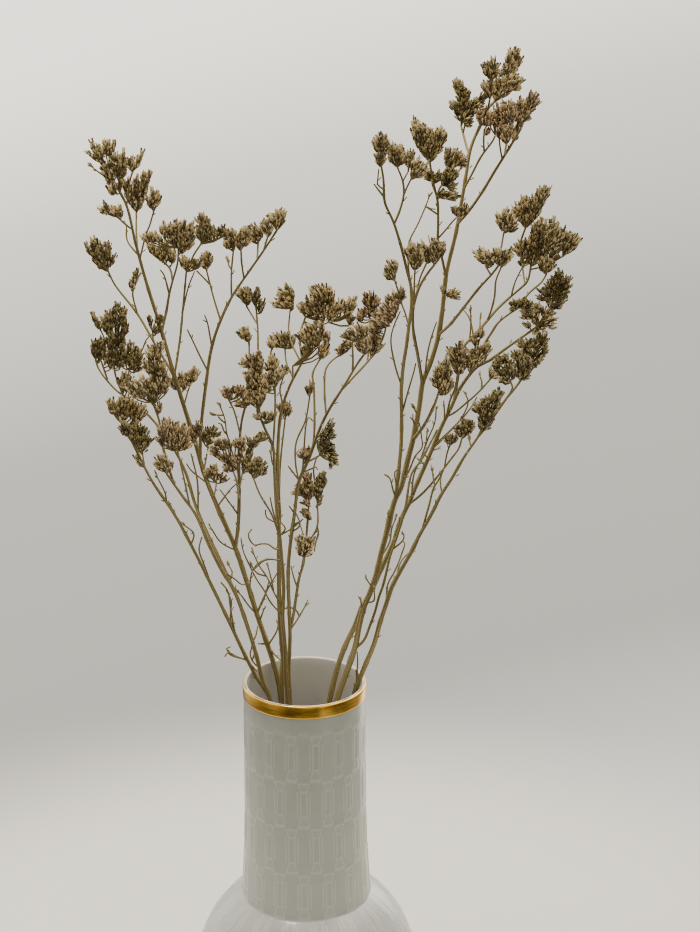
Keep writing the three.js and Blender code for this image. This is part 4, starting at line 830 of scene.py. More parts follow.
# %% Front centre spray
spray("spray_front_centre", [-6, 9], 8.5)
limb("stem", "", 2.2, 1.2, -28, [-9.5, -10, -10.5, 5, -10.8, 20, -12, 35, -11.5, 50, -12.3, 64, -13.5, 78,
    -15.5, 95, -16.5, 115, -17.5, 129, -22, 139, -26, 149], [-26, 150, -30.5, 157, -25.5, 151, -28, 160,
    -24.5, 152, -25, 161, -23.5, 152, -22, 160, -27, 155, -32.5, 163, -28, 157, -33, 169.5, -27, 160, -31,
    170, -26, 160, -28.5, 168, -25, 160, -25.5, 170, -24, 160, -23.5, 168, -23, 159, -20, 166, -29, 156,
    -32.5, 160, -28, 172, -35.5, 173, -28.5, 173, -36, 176, -28, 174, -33, 178.5, -27.5, 172, -29.5, 179.5,
    -26.5, 171, -27, 180, -25.5, 170, -24.5, 181, -25, 168, -23.5, 176, -27, 168, -29, 174, -24.5, 143.5,
    -28.5, 145, -24, 144, -26, 147, -26.5, 131, -25.5, 135.5, -24.5, 131.5, -23.5, 135.5, -23, 132, -21.5,
    136, -21, 143, -22, 146.5, -19.5, 143, -20, 147, -18, 143, -18, 146.5, -17, 143.5, -15.5, 147.5])
limb("right head", "stem", 1.1, 0.9, -40, [-17.2, 127, -16.2, 149, -16.2, 161], [-18, 162, -21.5, 168.5,
    -17.5, 162, -19, 171, -17, 163, -16.5, 171.5, -16.5, 163, -14.5, 171.5, -16, 162, -12.5, 170, -19, 158,
    -22.5, 163, -20, 160, -23, 167.5, -17, 161, -14, 166, -18.5, 171, -19.5, 177.5, -17.5, 171, -17, 178,
    -16.5, 171, -15, 175, -19.5, 170, -21, 173.5])
sprig("right top", "right head", -36, [-16.2, 158, -19, 170, -18.5, 181], [-18, 182.5, -19.5, 186.5, -17.5,
    183, -17, 187.5])
sprig("left top", "stem", -16, [-26, 148, -30, 168, -30.5, 184], [-31, 186.5, -37.3, 190.5, -31, 187, -36,
    193, -30.8, 187, -34, 194.2, -30.5, 187, -32, 193.7, -30.5, 186.5, -30, 191])
limb("tall twig", "stem", 1.1, 0.9, -8, [-24.5, 146, -25.5, 172, -25.7, 193, -26.5, 203], [-27, 206, -29.3,
    213, -27, 207, -27.5, 216, -26.5, 207, -25.3, 214, -24.8, 202, -24.8, 208, -24.5, 202, -22.6, 208.8])
sprig("tall twig left", "tall twig", 0, [-26, 196, -32, 206], [-31, 208, -38, 212.5, -31, 209, -36, 215.7,
    -31, 209, -33.5, 216.2, -30.5, 209, -30.5, 215.7, -30, 208, -29.7, 212, -31, 207, -35, 209.5])
limb("low head", "stem", 1.1, 0.9, -36, [-13.5, 78, -17.9, 91, -24.7, 102.7, -28, 111], [-28, 113, -26, 120.5,
    -27, 114, -25, 123, -26.5, 114, -22.5, 120.5, -26, 113.5, -21.5, 116, -28, 114, -28.5, 121, -29, 113, -31,
    119, -25, 113, -22, 114.5])
tone("dark", "low head", "tall twig")
bare("stem", -10, [-13.5, 72, -16.5, 72.5, -20, 75, -23.9, 75.2, -27.4, 74.5, -29.9, 77, -30.9, 80.5, -28.9,
    83.4])
bare("stem", -12, [-14.5, 35.9, -18.5, 42.8, -22.4, 49.8, -26.4, 55.7, -29.9, 62.6, -33.8, 71.5, -35, 78.5])
fork = bare("stem", -8, [-14.8, 39.9, -17, 48.8, -20.5, 56.7, -24.9, 63.1, -28.4, 70.6], bud=True)
bare(fork, -8, [-17, 48.8, -17.8, 53.7, -20, 62.6], bud=True)
bare(fork, -10, [-21, 57.4, -26, 59, -29.5, 63.5], bud=True)
bare("stem", -6, [-12.5, 66, -21, 66.5, -28, 61])
bare("stem", -14, [-16, 86, -21, 90, -21.5, 94])
tell_spray()

# %% Centre spray
spray("spray_centre", [-11, 17], 15)
limb("stem", "", 2.7, 1.3, 10, [-12.5, -10, -12.5, 0, -12, 12, -13.5, 32, -14, 52, -14, 75, -14, 93, -14.8,
    120, -13, 147, -8.8, 160.5, -3, 172, 0, 177], [0.5, 178, -1.5, 184, 1, 178, 1, 185, 2, 179, 4, 184])
limb("low head", "stem", 1.1, 0.9, 20, [-14, 93, -13.4, 118, -11.5, 137, -10.5, 145], [-12, 146, -15.5, 151,
    -11.5, 146, -13.5, 153, -11, 146, -11, 153, -10.5, 146.5, -9, 153, -10, 146, -7.5, 151, -10, 145.5, -8,
    147.5])
sprig("side head", "stem", -2, [-12, 151, -13.5, 160, -12, 166], [-12.5, 166, -14, 171.5, -12, 167, -11.5,
    172, -11.5, 168, -9, 171.5])
sprig("mid head", "stem", 2, [-6.5, 165, -6.5, 173], [3, 184.5, -5.5, 189, 4, 185, -4, 191.2, 5, 186, -1,
    193.5, 5.5, 187, 1, 195.3, 6, 187, 3, 195.5, 7, 187, 5.2, 195.8, 8, 186, 8, 192.5, 7, 183, 5, 190, 4, 181,
    2, 188, 9.5, 189, 8.5, 196, 12, 184, 11, 190.8, 12, 184.5, 13.2, 190.8, 12, 180, 12.5, 185])
sprig("mid bud", "stem", 24, [-6.3, 166, -10, 175, -10.8, 183], [-12, 183, -20.5, 185.5, -13, 184, -21.2, 188,
    -12, 184, -18, 189.8, -12, 184, -16, 190.8, -11, 183.5, -14, 191, -10, 183.5, -12, 190.5, -9, 183, -10.5,
    191.8, -8, 183, -8.8, 191, -7, 183, -7.2, 189.5, -6.5, 183, -5.3, 188.8])
limb("upper left", "stem", 1.1, 0.9, 30, [-1.5, 174, -8.5, 190, -8, 203], [-6, 205, -17, 205.2, -6, 206.5,
    -18, 207.5, -6, 208, -16.5, 209.8, -6.5, 209.5, -15.5, 212, -6.5, 211, -14.5, 214.5, -7, 212, -11.5,
    215.5, -6.5, 212, -10.5, 217.3, -6.5, 211, -8.5, 217, -6, 210, -6.8, 215.5])
limb("upper right", "stem", 1.2, 1, 22, [-1, 175, -2.5, 190, 0.5, 200], [-1, 202, -3.8, 206.5, 0, 202, -2,
    207.8, 2, 201, -0.5, 205.5, 4, 200, 0.2, 210, 6, 200, 2, 210.8, 8, 200, 4, 211, 9.5, 200, 6, 210, 10, 200,
    8.5, 210, 9, 206, 2.5, 215.5, 9, 207, 3.5, 213.2, 10, 208, 5, 217.5, 11, 208, 7, 217.8, 12, 207, 9, 217.8,
    12.5, 207, 11, 217, 13, 207, 13, 216, 13.5, 206, 14.5, 216.2, 14, 205, 16.2, 214, 11, 198, 10.5, 207, 8,
    195, 6.8, 199.5, 9, 194, 9, 199.5])
sprig("upper far right", "upper right", 14, [-2.2, 189, 6, 194, 13, 197], [16, 199, 15.3, 208.5, 18, 200,
    16.5, 208.8, 20, 201, 19, 209, 22, 201, 21.5, 209.5, 24, 201, 25, 210, 25, 202, 28, 210, 24, 200, 27, 205,
    14, 198, 12.5, 206, 13, 197.5, 18.5, 198, 13, 198, 18, 201, 25.5, 195.5, 23, 199, 25.5, 195, 25.8, 201.5])
tone("brown", "low head")
bare("stem", 16, [-14, 84, -17, 92, -19, 101])
bare("stem", 8, [-14.5, 112, -18, 121, -18.5, 126], bud=True)
bare("stem", 4, [-11, 79.5, -6.6, 83.9, -0.7, 88.9])
bare("stem", 0, [-12.2, 79.5, -10.6, 83.4, -12.8, 86.9])
tell_spray()

# %% Brown spray
spray("spray_brown", [2, 2], -1)
limb("stem", "", 2.4, 1.1, -32, [-8, -10, -8.7, 5, -8, 25, -8.5, 40, -9, 61, -7.5, 78, -5.5, 92, -3, 109.5,
    2.4, 122, 9, 140, 13.5, 149, 22.2, 162.8, 29.4, 174.8, 32.5, 179], [33, 180, 26.8, 185, 33, 180, 28,
    187.3, 33.5, 180, 30, 187.8, 34, 180, 31.8, 188.2, 34, 180.5, 33.8, 189, 35, 181, 36, 188.5])
limb("upper fork", "stem", 1.3, 1, -20, [20.5, 160, 28.6, 168.8, 34.6, 175.2, 40.5, 182], [36, 180, 38, 187,
    36.5, 180, 40, 187.3, 37.5, 180, 42, 187.2, 38, 180.5, 42.8, 184.5, 37, 179.5, 41, 182, 37, 183, 37.5,
    189.5, 38, 184, 40, 190])
sprig("upper top", "upper fork", -10, [34.6, 175, 36, 190, 35.8, 200], [31, 197, 29.3, 201, 32, 198.5, 30.3,
    203, 33.5, 200, 31.5, 203.5, 35, 201, 33.2, 205, 36.5, 202, 34.5, 207, 36, 205, 31.8, 209, 35.5, 206,
    32.5, 213, 36.5, 206, 34.3, 213.2, 37, 206, 37, 213, 38, 205, 38, 210, 39, 205, 40, 211, 39.5, 205, 41.2,
    209.5, 38.3, 199, 37.8, 206, 39, 199, 39, 205.5])
sprig("upper right", "upper fork", -26, [40, 181, 44, 191, 45, 197], [48, 197, 40.5, 199.5, 48.5, 198, 40.3,
    202, 49, 200, 40.5, 204.5, 50, 202, 42, 206.8, 51, 204, 43.5, 209.5, 51.5, 205, 45, 211, 51.5, 206, 47.8,
    211.3, 52, 207, 49, 214, 52.2, 208, 51, 213, 52.5, 208.5, 54, 215.5, 51, 203, 48.5, 209, 50, 200, 46, 207,
    46.5, 195.5, 38, 199.8, 45.5, 195, 36.2, 197, 44.5, 194, 36.5, 195.5, 42.5, 191, 35, 195, 41.5, 190, 34.8,
    192.8, 40.5, 189, 35, 190.5, 41, 188, 37.5, 192, 47, 195, 42, 199])
sprig("golden head", "stem", -42, [26.7, 170, 26.6, 178, 26.2, 186], [27, 187, 19.8, 189, 28, 187.5, 21,
    190.8, 29, 188, 23.5, 192, 29.5, 188.5, 24.5, 194, 31, 189, 28, 195.5, 32, 189, 30, 196, 33, 189, 32.3,
    195, 34, 189.5, 34.5, 194])
sprig("left bud", "stem", -20, [-1.5, 112, -0.8, 119], [1, 122, -3.7, 123, 1, 123, -2, 125.2, 1.5, 123, -2.3,
    127, 2, 123, 0.3, 127.3, 2.5, 123.5, 2, 127, 3, 124, 3.6, 126])
sprig("dark head", "stem", -30, [1.5, 120, 8.5, 124], [7, 132, 8.8, 136.5, 9, 133, 10.2, 138.5, 10, 134, 12,
    139.5, 11, 136, 12, 141.3, 12, 138, 14.3, 143.3, 12, 138, 15.4, 141.2, 12, 137, 15.2, 138.5, 11, 135, 14,
    136.8, 12, 134, 15.4, 134.2, 8, 131, 14, 131.6, 8, 131, 9.2, 126.8, 8, 130, 8.2, 125.8, 10.5, 127, 11.5,
    129.8, 11, 127, 14, 129, 12, 126, 16, 128.2, 12, 126, 15.8, 125.8, 12.5, 124, 17.4, 123.4, 13, 124, 14.3,
    120.8, 14, 123, 16.6, 121.6, 13.5, 121, 16.8, 119.5, 14, 121, 14, 118.3, 11, 126, 12, 122.3])
limb("centre twig", "stem", 1.2, 1, -8, [2, 121, 4.9, 131, 5.2, 160, 4.5, 169, 8, 176], [8.5, 178, 8, 184, 9,
    178, 10.5, 186, 9.5, 178, 13, 184.5, 9, 177, 13.5, 181])
limb("right twig", "stem", 1.1, 0.9, -16, [11.5, 146, 11, 160, 12, 172, 17, 177.5, 20, 179], [25, 183, 19.3,
    184, 24, 182.5, 21, 186.2, 25.5, 183.5, 24, 186, 22, 180.5, 19.5, 183.8, 21, 179.5, 18.3, 182.5])
sprig("loop twig", "stem", -10, [-3, 109, -5, 120, -4.6, 131, 0.5, 143, 2.8, 156], [2.5, 157, 1, 161.5, 3,
    157, 4, 164, 3, 157, 2.5, 162.5])
limb("low arm", "stem", 1.6, 1, -14, [-8, 27, -6.3, 35, -3, 56, -0.5, 65, 1, 79, 2, 92, 2.4, 99], [2, 101,
    0.4, 104, 2.5, 101, 0.8, 107, 3, 102, -0.6, 110.6, 3, 104, 0, 113.2, 3, 105, 1.5, 114.3, 3.5, 105, 3,
    113.4, 3.5, 102, 4, 109.2, 4, 101, 4.6, 104, 2, 104, 1.6, 109, -1, 102.5, -6.4, 102.7, -2, 102, -5, 105.6,
    -1, 103, -3.6, 107.6, -0.5, 103, -1.5, 107.8, 3, 88.5, 0, 91.5, 3, 90, -1.7, 93.4, 3, 91, 0.8, 92.6, 3,
    96.3, -0.4, 97.6, 3, 96.5, 0.6, 98.9])
sprig("low arm tuft", "low arm", -20, [-2, 60, -0.5, 68], [-0.5, 71, -5, 74.5, 0, 72, -5.6, 76.5, 0, 73, -5,
    78.2, 0.5, 74, -2.5, 78.8, 1, 74, 0.5, 78.8, 1, 74, 3, 78.2, 1, 73, 5.6, 78, 1, 72, 5, 75.5, 0, 71, 4.5,
    73, -1, 70, 4, 71, -1, 68, 3.6, 69.5, -2, 69, -4.2, 71.6])
sprig("low arm right", "low arm", -26, [0.5, 74, 6.8, 84, 7, 99], [7, 98, 9.7, 101, 6.5, 100, 9.8, 104, 7,
    103, 10.4, 106.6, 7.5, 104, 5.2, 106.6, 8, 105, 5.4, 108.5, 8, 106, 6.2, 110, 8.5, 106, 8, 114, 9, 107,
    9.6, 114.2, 9.5, 107, 11, 114, 9.5, 105, 11.2, 109.5, 6, 101, 5, 105, 6.8, 96, 8.2, 97.5])
tone("brown", "", "stem")
tone("golden", "golden head", "low arm tuft")
tone("dark", "dark head", "low arm right")
fork = bare("stem", 0, [-8, 27.5, -4, 33.5, 1, 42], bud=True)
bare(fork, -2, [-3.6, 35.9, -5.1, 39.4, -8.1, 39.9], bud=True)
bare("stem", -22, [0.3, 80.5, -2.6, 85.4, -5.3, 93.3])
bare("low arm right", -10, [8.6, 85.5, 7.6, 81, 6.2, 76, 5.4, 71])
bare("low arm right", -14, [4.6, 113, 5, 117, 5.8, 120, 7, 123, 10, 124.6])
bare("stem", -24, [0, 114, 2.6, 116, 5, 117, 6.3, 117.5, 7.2, 115.9])
bare("left bud", -22, [-1.8, 138, 1, 141.6, 2.2, 144.8, 4.8, 142.6])
bare("low arm", -16, [-5, 51, -6, 57, -7.5, 63])
bare("stem", -26, [-3, 110, -9, 118])
bare("stem", -18, [-5.5, 92, -8.5, 96])
bare("stem", -24, [-6.5, 84, -3.5, 87, -0.5, 80])
tell_spray()

# %% Tall right spray
spray("spray_tall_right", [-24, -18], -6)
limb("stem", "", 3.3, 1.3, 30, [18, -10, 21.4, 0, 25, 10, 28.2, 20, 30, 30, 32.5, 40, 36.7, 50, 39.9, 60,
    42.1, 70, 44.8, 80, 47.1, 90, 50, 100, 53, 106, 56.4, 120, 60.2, 135, 63, 150, 65.2, 165, 68.6, 173, 73,
    187, 75, 198, 76.5, 210, 77.7, 222, 80, 233, 83, 245, 86.5, 264, 89, 279, 90.9, 290.7, 93, 297.3, 96.1,
    304, 100.5, 314, 104, 318, 108.5, 321], [107, 322, 104, 330.6, 107, 323, 106, 331.2, 108, 324, 108, 331,
    109, 324, 110, 331.8, 105, 319, 104, 325.5, 106, 320, 108, 325, 105.5, 320, 106, 328])
limb("crown", "stem", 1.1, 1, 40, [104, 318, 107, 326, 109, 332], [111, 332, 109.2, 338, 112, 334, 111, 343.2,
    113, 336, 112.5, 347, 113, 338, 114, 345.8, 114, 340, 115.4, 347.8, 115, 340, 117.2, 347.6, 115, 338, 118,
    343.6, 115, 337, 120, 342.5, 114, 335, 118.6, 340.6, 112, 333, 117, 338.5, 111, 332, 117, 336.2, 110, 332,
    113, 340, 109.5, 331.5, 107, 334])
limb("crown left", "stem", 1.1, 0.9, 18, [101, 314.5, 102, 321, 102, 325], [102, 320, 97, 328.5, 102.5, 321,
    99, 328.5, 103, 322, 101.4, 329.2, 103, 322, 103.5, 327.5, 102, 331, 97.2, 337.7, 102, 332, 98.2, 339.8,
    102.5, 333, 100, 340, 103, 333, 102, 339, 103, 334, 103.8, 342, 103.5, 334, 107.2, 339, 104, 333, 105.5,
    338, 104, 332, 106.6, 335, 102.5, 331, 105, 333])
sprig("crown right", "stem", 20, [106, 319.5, 111.3, 322, 114.5, 325], [109, 324, 112, 332.3, 110, 325, 114,
    333.8, 111, 325, 116.6, 333.8, 112, 325, 118.7, 331, 113, 325.5, 120.8, 330.2, 113, 325, 118.6, 327, 114,
    325, 117.7, 325.4, 108, 321, 111, 327, 110, 323, 114, 327])
limb("left head", "stem", 1.4, 1.1, 44, [90.7, 289, 88.9, 294.7, 86.1, 305], [87, 309, 84.5, 314, 86, 308,
    81.8, 314, 87, 310, 80, 315.5, 88, 311, 79, 317.4, 88, 313, 82.3, 318.2, 88, 315, 84.5, 320.2, 87, 319,
    83, 323.8, 86, 321, 81.8, 329.2, 86, 322, 84.5, 330.2, 86.5, 322, 86.5, 328.6, 88, 320, 87.5, 326, 88.5,
    320, 90.5, 324.6, 88.5, 318, 90.4, 320.5, 88, 316, 88, 321, 89, 314, 91.5, 319, 89, 312, 91, 316])
sprig("left head arm", "left head", 36, [87, 301, 89, 308, 92, 313], [91, 314, 92.5, 318.8, 92, 315, 94.5,
    319.5, 93, 316, 96.5, 321.5, 94, 316, 98.6, 322.9, 94, 315.5, 100, 320.7, 94, 315, 97.6, 318, 90, 309, 93,
    313, 88, 309, 91, 313, 88, 307, 91.2, 307.5, 88, 306.5, 89.5, 305.3])
sprig("middle head", "stem", 26, [94, 299.5, 96, 305], [97, 306, 95, 309.5, 97.5, 307, 94, 313.7, 98, 307,
    96.8, 314.4, 98.5, 307, 99, 314, 99, 307, 101, 313.7, 99, 306, 103, 311])
limb("thin stem", "stem", 1.2, 0.9, 8, [87.7, 270, 92.1, 278.7, 97.3, 288.5, 103.3, 296.5, 105, 300], [102,
    305, 101, 312, 104, 305, 102.3, 313.4, 105, 304, 104.5, 314.8, 106, 303, 106.5, 317.3, 107, 304, 108.5,
    314])
sprig("thin stem left", "thin stem", 2, [98.8, 290.5, 98.5, 297.3, 98.9, 303], [100, 305, 98.6, 309.5, 99,
    300, 101.8, 302.6])
limb("long arm", "stem", 1.6, 1.1, -6, [84.8, 251, 90.1, 258, 97.5, 268.4, 104.7, 280.3, 108.9, 287, 114.5,
    296, 118.9, 303.3, 120, 306], [119.5, 307, 124.2, 309, 120, 307, 123.7, 312, 120, 309, 122, 320, 121, 310,
    123.3, 322, 122, 312, 124.5, 323.8, 123, 313, 126.5, 323.8, 123.5, 314, 128.3, 322.6, 123.5, 314, 128.3,
    318.5, 123, 312, 126.2, 316, 118, 305, 121, 311])
sprig("long arm left", "long arm", -2, [108.9, 286.5, 107.5, 293.7, 107, 299], [108, 298, 106.4, 303, 109,
    299, 107.8, 307, 110, 300, 109.5, 310, 110, 305, 109, 318.3, 111, 306, 111.6, 317.3, 112, 307, 110.6,
    314])
sprig("long arm low", "long arm", -14, [110, 289, 111, 295], [110, 296, 107.8, 299, 111, 296, 110.5, 304, 112,
    297, 112.5, 305, 113, 298, 113.5, 306, 114, 306, 113.4, 319, 115, 308, 115.5, 317.8])
sprig("long arm mid", "long arm", 8, [114.5, 295.5, 115.8, 303], [115, 297, 116.6, 303, 116, 299, 117, 306,
    117, 306, 117.5, 317.8, 118, 307, 119, 320.8, 119, 308, 120.8, 319.8])
limb("side arm", "stem", 1.6, 1.1, -14, [73.8, 190, 79.8, 195.6, 86.9, 204.3, 95.7, 215.5, 103.7, 224.3,
    106.9, 228.5], [105, 230, 103.5, 237, 106, 230, 105.5, 237.3, 107, 230, 107.3, 237.2, 107.5, 229.5, 108.9,
    235.6, 108, 229, 111.5, 237.2, 108.5, 229, 113.2, 236.6, 109, 229, 114.7, 234.5, 107, 228.5, 110, 230.4])
sprig("side arm left", "side arm", -18, [102.5, 223, 99.5, 228], [100.5, 229, 94.3, 232.8, 101, 230, 93,
    235.7, 102, 230, 95.8, 237.3, 103, 230, 98, 236.7, 104, 230, 100.5, 236.5, 104, 229, 102, 234.7])
limb("side arm top", "side arm", 1.1, 0.9, -8, [106.5, 228, 108.5, 240, 109.5, 246], [110, 247, 105.5, 252,
    110, 248, 104.8, 256, 110.5, 249, 106.8, 256.3, 111, 249, 109, 258.6, 111, 249, 111, 259, 111.5, 249,
    112.9, 257.8, 112, 249, 114.7, 256.2, 112.5, 248, 116.8, 253, 112.5, 247.5, 117.2, 250, 112, 247, 115.2,
    247.3])
sprig("node bud", "stem", 2, [76.8, 212.5, 80, 211], [76.8, 212.5, 75.2, 214.8, 79, 211.5, 84.8, 209, 80,
    211.5, 85, 212.8, 79.5, 211.8, 82.5, 214, 78, 212, 80, 213.5])
sprig("collar bud", "stem", 6, [84.6, 250.5, 87, 257], [82.5, 256.5, 81, 260.4, 83.5, 256, 83.7, 260, 86.5,
    256, 86.5, 260.2, 87.5, 256, 88.3, 262.3, 88.5, 256, 89.8, 261.2, 85, 255.5, 85, 259.2])
limb("middle arm", "stem", 1.5, 1.1, -2, [78, 222, 75.2, 234.2, 73.3, 242, 73.5, 250, 73.1, 264, 71, 273,
    69.7, 280, 68.9, 285], [66, 289, 58, 303, 66, 290, 58.2, 306.5, 66, 291, 59.5, 308.8, 66.5, 292, 61.3,
    308.2, 67, 292, 62.5, 304.7, 67, 292, 64.5, 305.8, 67.5, 292, 65.5, 305, 68, 292, 66.8, 304.8, 68.5, 292,
    69, 303.8, 69.5, 292, 71, 301.5, 70, 293, 73.5, 303.4, 70.5, 292, 74.8, 304, 71, 292, 76.5, 303.2, 71.5,
    291, 78.6, 301, 72, 291, 78, 298.2, 72, 290, 76, 293.8, 71, 289, 74.7, 291.3, 67, 288, 63, 292, 69, 286,
    67.2, 290, 70, 286, 71.5, 290])
sprig("middle arm left", "middle arm", 4, [72.5, 267, 70, 273.5], [70.5, 274.5, 65.2, 276.5, 71, 275, 66, 279,
    71.5, 275, 68, 279.5, 72, 275, 70, 279.2, 72.5, 274.5, 72.5, 278.3, 73, 275, 74.2, 279.3, 73.5, 274.5,
    75.2, 277.5])
limb("middle arm right", "middle arm", 1.1, 0.9, -12, [72.8, 265.5, 74.5, 271, 77.5, 274.5], [78, 275, 75.8,
    278.6, 78, 276, 77.5, 281.3, 79, 276, 79, 281.8, 80, 276, 81.5, 282.6, 80.5, 276, 85.4, 280.8, 80, 275,
    83, 279.5, 79, 274, 83.2, 277.3, 78, 273.5, 81, 275, 77, 272, 82.8, 271.8, 78, 271.8, 82, 269.3, 76,
    272.5, 75.3, 277.6])
sprig("middle arm top", "middle arm right", -4, [77, 274, 79.5, 281], [79, 282, 77.5, 287, 79, 284, 77.4,
    292.2, 79, 285, 79.2, 293, 80, 285, 81.2, 292, 80.5, 283, 80.5, 287.5, 81, 283, 82.4, 290.8, 82, 283,
    83.7, 292.2, 83, 284, 85.6, 291, 84, 284, 86.8, 290, 85, 284, 88.9, 288.6, 84, 283.5, 89, 285.5, 84,
    283.2, 88, 282.8])
sprig("middle arm spike", "middle arm", 2, [73.1, 264.5, 75, 267], [74, 266.8, 75.8, 270, 74.5, 267, 79,
    269.2, 75, 267, 83.6, 267.4, 76, 266.5, 84.2, 265.3, 77, 266, 82.3, 263.8, 74, 266, 77.5, 265.8])
limb("inner stem", "stem", 2.1, 1.1, -20, [49.5, 98.5, 51.2, 110, 52.2, 120, 53.1, 130, 53.4, 145, 53.2, 160,
    54.3, 173, 56.1, 184.8, 57.5, 196, 58.8, 206, 58.6, 216, 55.8, 227.8, 52.6, 240.6, 48.8, 252.4, 44.2,
    262.8, 43.6, 270, 43.4, 275.5, 42.2, 283], [41, 283, 40.2, 291, 42, 283, 42, 292, 42.5, 284, 43.8, 291.2,
    41, 290, 37.3, 294.5, 41, 291, 37.8, 297.6, 41.5, 292, 39.4, 299.3, 42, 292, 41, 301, 42.5, 292, 42.5,
    300.2, 43, 292, 44.2, 301, 43.5, 291, 45.3, 296.6, 43, 288, 45, 290.6])
limb("inner right", "inner stem", 1.2, 0.9, -12, [49.3, 251, 52.6, 259.2, 54.6, 267.6, 54, 274.7, 51, 282.5],
    [49, 284, 44.9, 288.5, 49, 285, 45.5, 292, 49.5, 287, 47.2, 296.2, 50, 286, 49, 295.2, 50.5, 286, 50.7,
    295.6, 51, 285, 52, 292.6, 52, 285, 53.6, 294, 52, 285, 54.9, 291.6, 53, 284, 55.4, 288, 52, 283.5, 54.6,
    285.5])
sprig("inner far right", "inner right", -20, [54.3, 266, 56.2, 271, 58.4, 275.5], [59, 277, 59, 284.5, 59.5,
    278, 61.8, 288, 60, 281, 62.5, 286, 60, 278, 65, 284, 60, 278, 67.4, 284.6, 60.5, 277.5, 67.6, 282.8, 61,
    277, 67, 280.5, 61.5, 276.8, 65.5, 278.4])
sprig("inner bud", "inner right", -4, [54.2, 274.5, 57, 280], [57, 282, 55.7, 289, 57.2, 283, 57.3, 291.2,
    57.5, 283, 59.2, 290.6, 57.5, 282, 59, 286])
limb("cross stem", "stem", 1.9, 1.1, -8, [64.9, 163, 62.1, 180, 59.8, 192.8, 59.8, 204, 62.2, 214, 66, 221.5,
    74, 232], [72, 231, 68.5, 242.8, 72.5, 232, 70.5, 241.7, 73, 233, 72.3, 242.2, 73.5, 233, 74, 241.7, 74,
    233, 75.5, 242, 74.5, 233, 76.9, 239.5, 74.5, 233, 76.5, 236, 71, 229, 70, 235])
sprig("cross mid", "cross stem", 2, [61, 209, 63.4, 221, 67, 229.5], [67.5, 230, 64.3, 233.5, 68, 231, 63.3,
    240.5, 68, 231, 64.9, 241.2, 68.5, 232, 66.2, 239, 69, 232, 68, 238.3, 69.5, 232, 69.5, 238.2, 69, 230,
    71, 235])
sprig("cross left", "cross stem", -16, [60.3, 206, 60.4, 219, 60.8, 226], [61, 226, 58.3, 229, 60.5, 227,
    57.3, 233, 60, 228, 54.4, 236.8, 60, 229, 56.3, 238.3, 60.5, 229, 57.3, 240.8, 61, 229, 59.5, 240.5, 61.5,
    229, 61.2, 240.2, 62, 229, 62.5, 238.7, 62.5, 229, 64, 237, 62.5, 228, 65.2, 234.5, 62, 227, 65.7, 231.3,
    61, 226, 62.6, 228.6])
sprig("crossing twig", "inner stem", -26, [57.3, 195, 55.1, 202.7, 53, 208], [53, 209, 54, 213])
sprig("left tuft", "crossing twig", -32, [54, 205.5, 51.4, 214.5, 49.6, 220], [48.5, 220.5, 43.4, 223.8, 49,
    221, 43.6, 226, 49, 222, 44.4, 228.2, 49.5, 225, 45.4, 231, 49.8, 226, 47.5, 231.3, 50, 226, 49.4, 231,
    49.5, 222, 50.5, 228])
limb("low right arm", "stem", 1.9, 1.2, -20, [59.7, 132, 65.7, 140.4, 71.7, 152.4, 74.2, 160], [73, 162, 68.3,
    165.9, 73.5, 161, 70, 164, 74, 163, 70.8, 168.9, 74.5, 164, 71, 170.8, 75, 165, 72, 172.3, 76, 166, 74.4,
    174.7, 77, 167, 77.4, 177.5, 77.5, 168, 79.2, 176, 78, 168, 79.6, 173, 78, 165, 80.7, 171, 77, 162, 78.5,
    168, 77, 161, 81.2, 166, 77.5, 160, 82, 163.5, 77.5, 158.5, 82.2, 161.4, 77, 157.5, 80, 159.7, 76, 157,
    77.5, 165, 75, 158, 75, 167, 74.5, 160, 73, 165.5])
limb("front strand", "stem", 1.6, 1, -8, [28.2, 17, 32.5, 22, 35.9, 30, 38.9, 38.4, 40.9, 45.9, 43.3, 52.7,
    47, 68, 51, 80, 55.5, 96, 59, 114, 64, 121, 73, 138])
bare("middle arm", 0, [64.5, 256, 66.5, 261, 69.5, 259.5, 72, 259.2])
tone("dark", "middle arm right", "left head", "left head arm")
tone("brown", "middle head", "thin stem", "thin stem left", "long arm", "long arm left")
tone("brown", "long arm low", "long arm mid")
bare("stem", 2, [65, 168, 67.8, 180.8, 70.4, 190.8, 72.6, 197.2])
bare("inner stem", -18, [53.2, 162, 49.9, 172.9, 47.5, 187, 48.9, 194.4, 52.7, 203.2])
bare("inner stem", -8, [53.8, 146, 57.2, 160, 60, 169.5, 61.2, 174.5])
bare("middle arm", 0, [73.5, 243, 78.1, 248.4, 81.7, 252.8, 84, 255], bud=True)
bare("inner stem", 0, [58.3, 219, 57, 230, 57.4, 240.8, 62.6, 251.6, 66.9, 261.6, 68.5, 266], bud=True)
bare("inner stem", -22, [43.2, 265.6, 40.2, 270.4, 38.2, 273.1])
bare("inner stem", -18, [43.6, 270, 40, 273, 40.2, 275, 40.8, 281.5])
bare("inner stem", -10, [49.5, 101, 48.6, 105, 47, 111, 45.7, 112.3], bud=True)
bare("inner stem", -6, [50.5, 106, 49.8, 114.9, 51.6, 116.5])
bare("stem", 10, [62, 146, 60, 150], bud=True)
bare("stem", 9, [61, 139, 59.5, 144], bud=True)
bare("stem", 4, [48, 86, 45.9, 91], bud=True)
bare("stem", 0, [37.5, 51, 34, 56], bud=True)
bare("stem", -2, [32, 38, 30.8, 44], bud=True)
bare("front strand", -4, [50.5, 77, 51.9, 84, 52.2, 90])
bare("stem", -8, [35.5, 41.9, 38, 43.8, 38.3, 49.8], bud=True)
bare("stem", -6, [44.9, 65.6, 46.9, 76.5, 47.9, 83.4, 50.3, 89.4], bud=True)
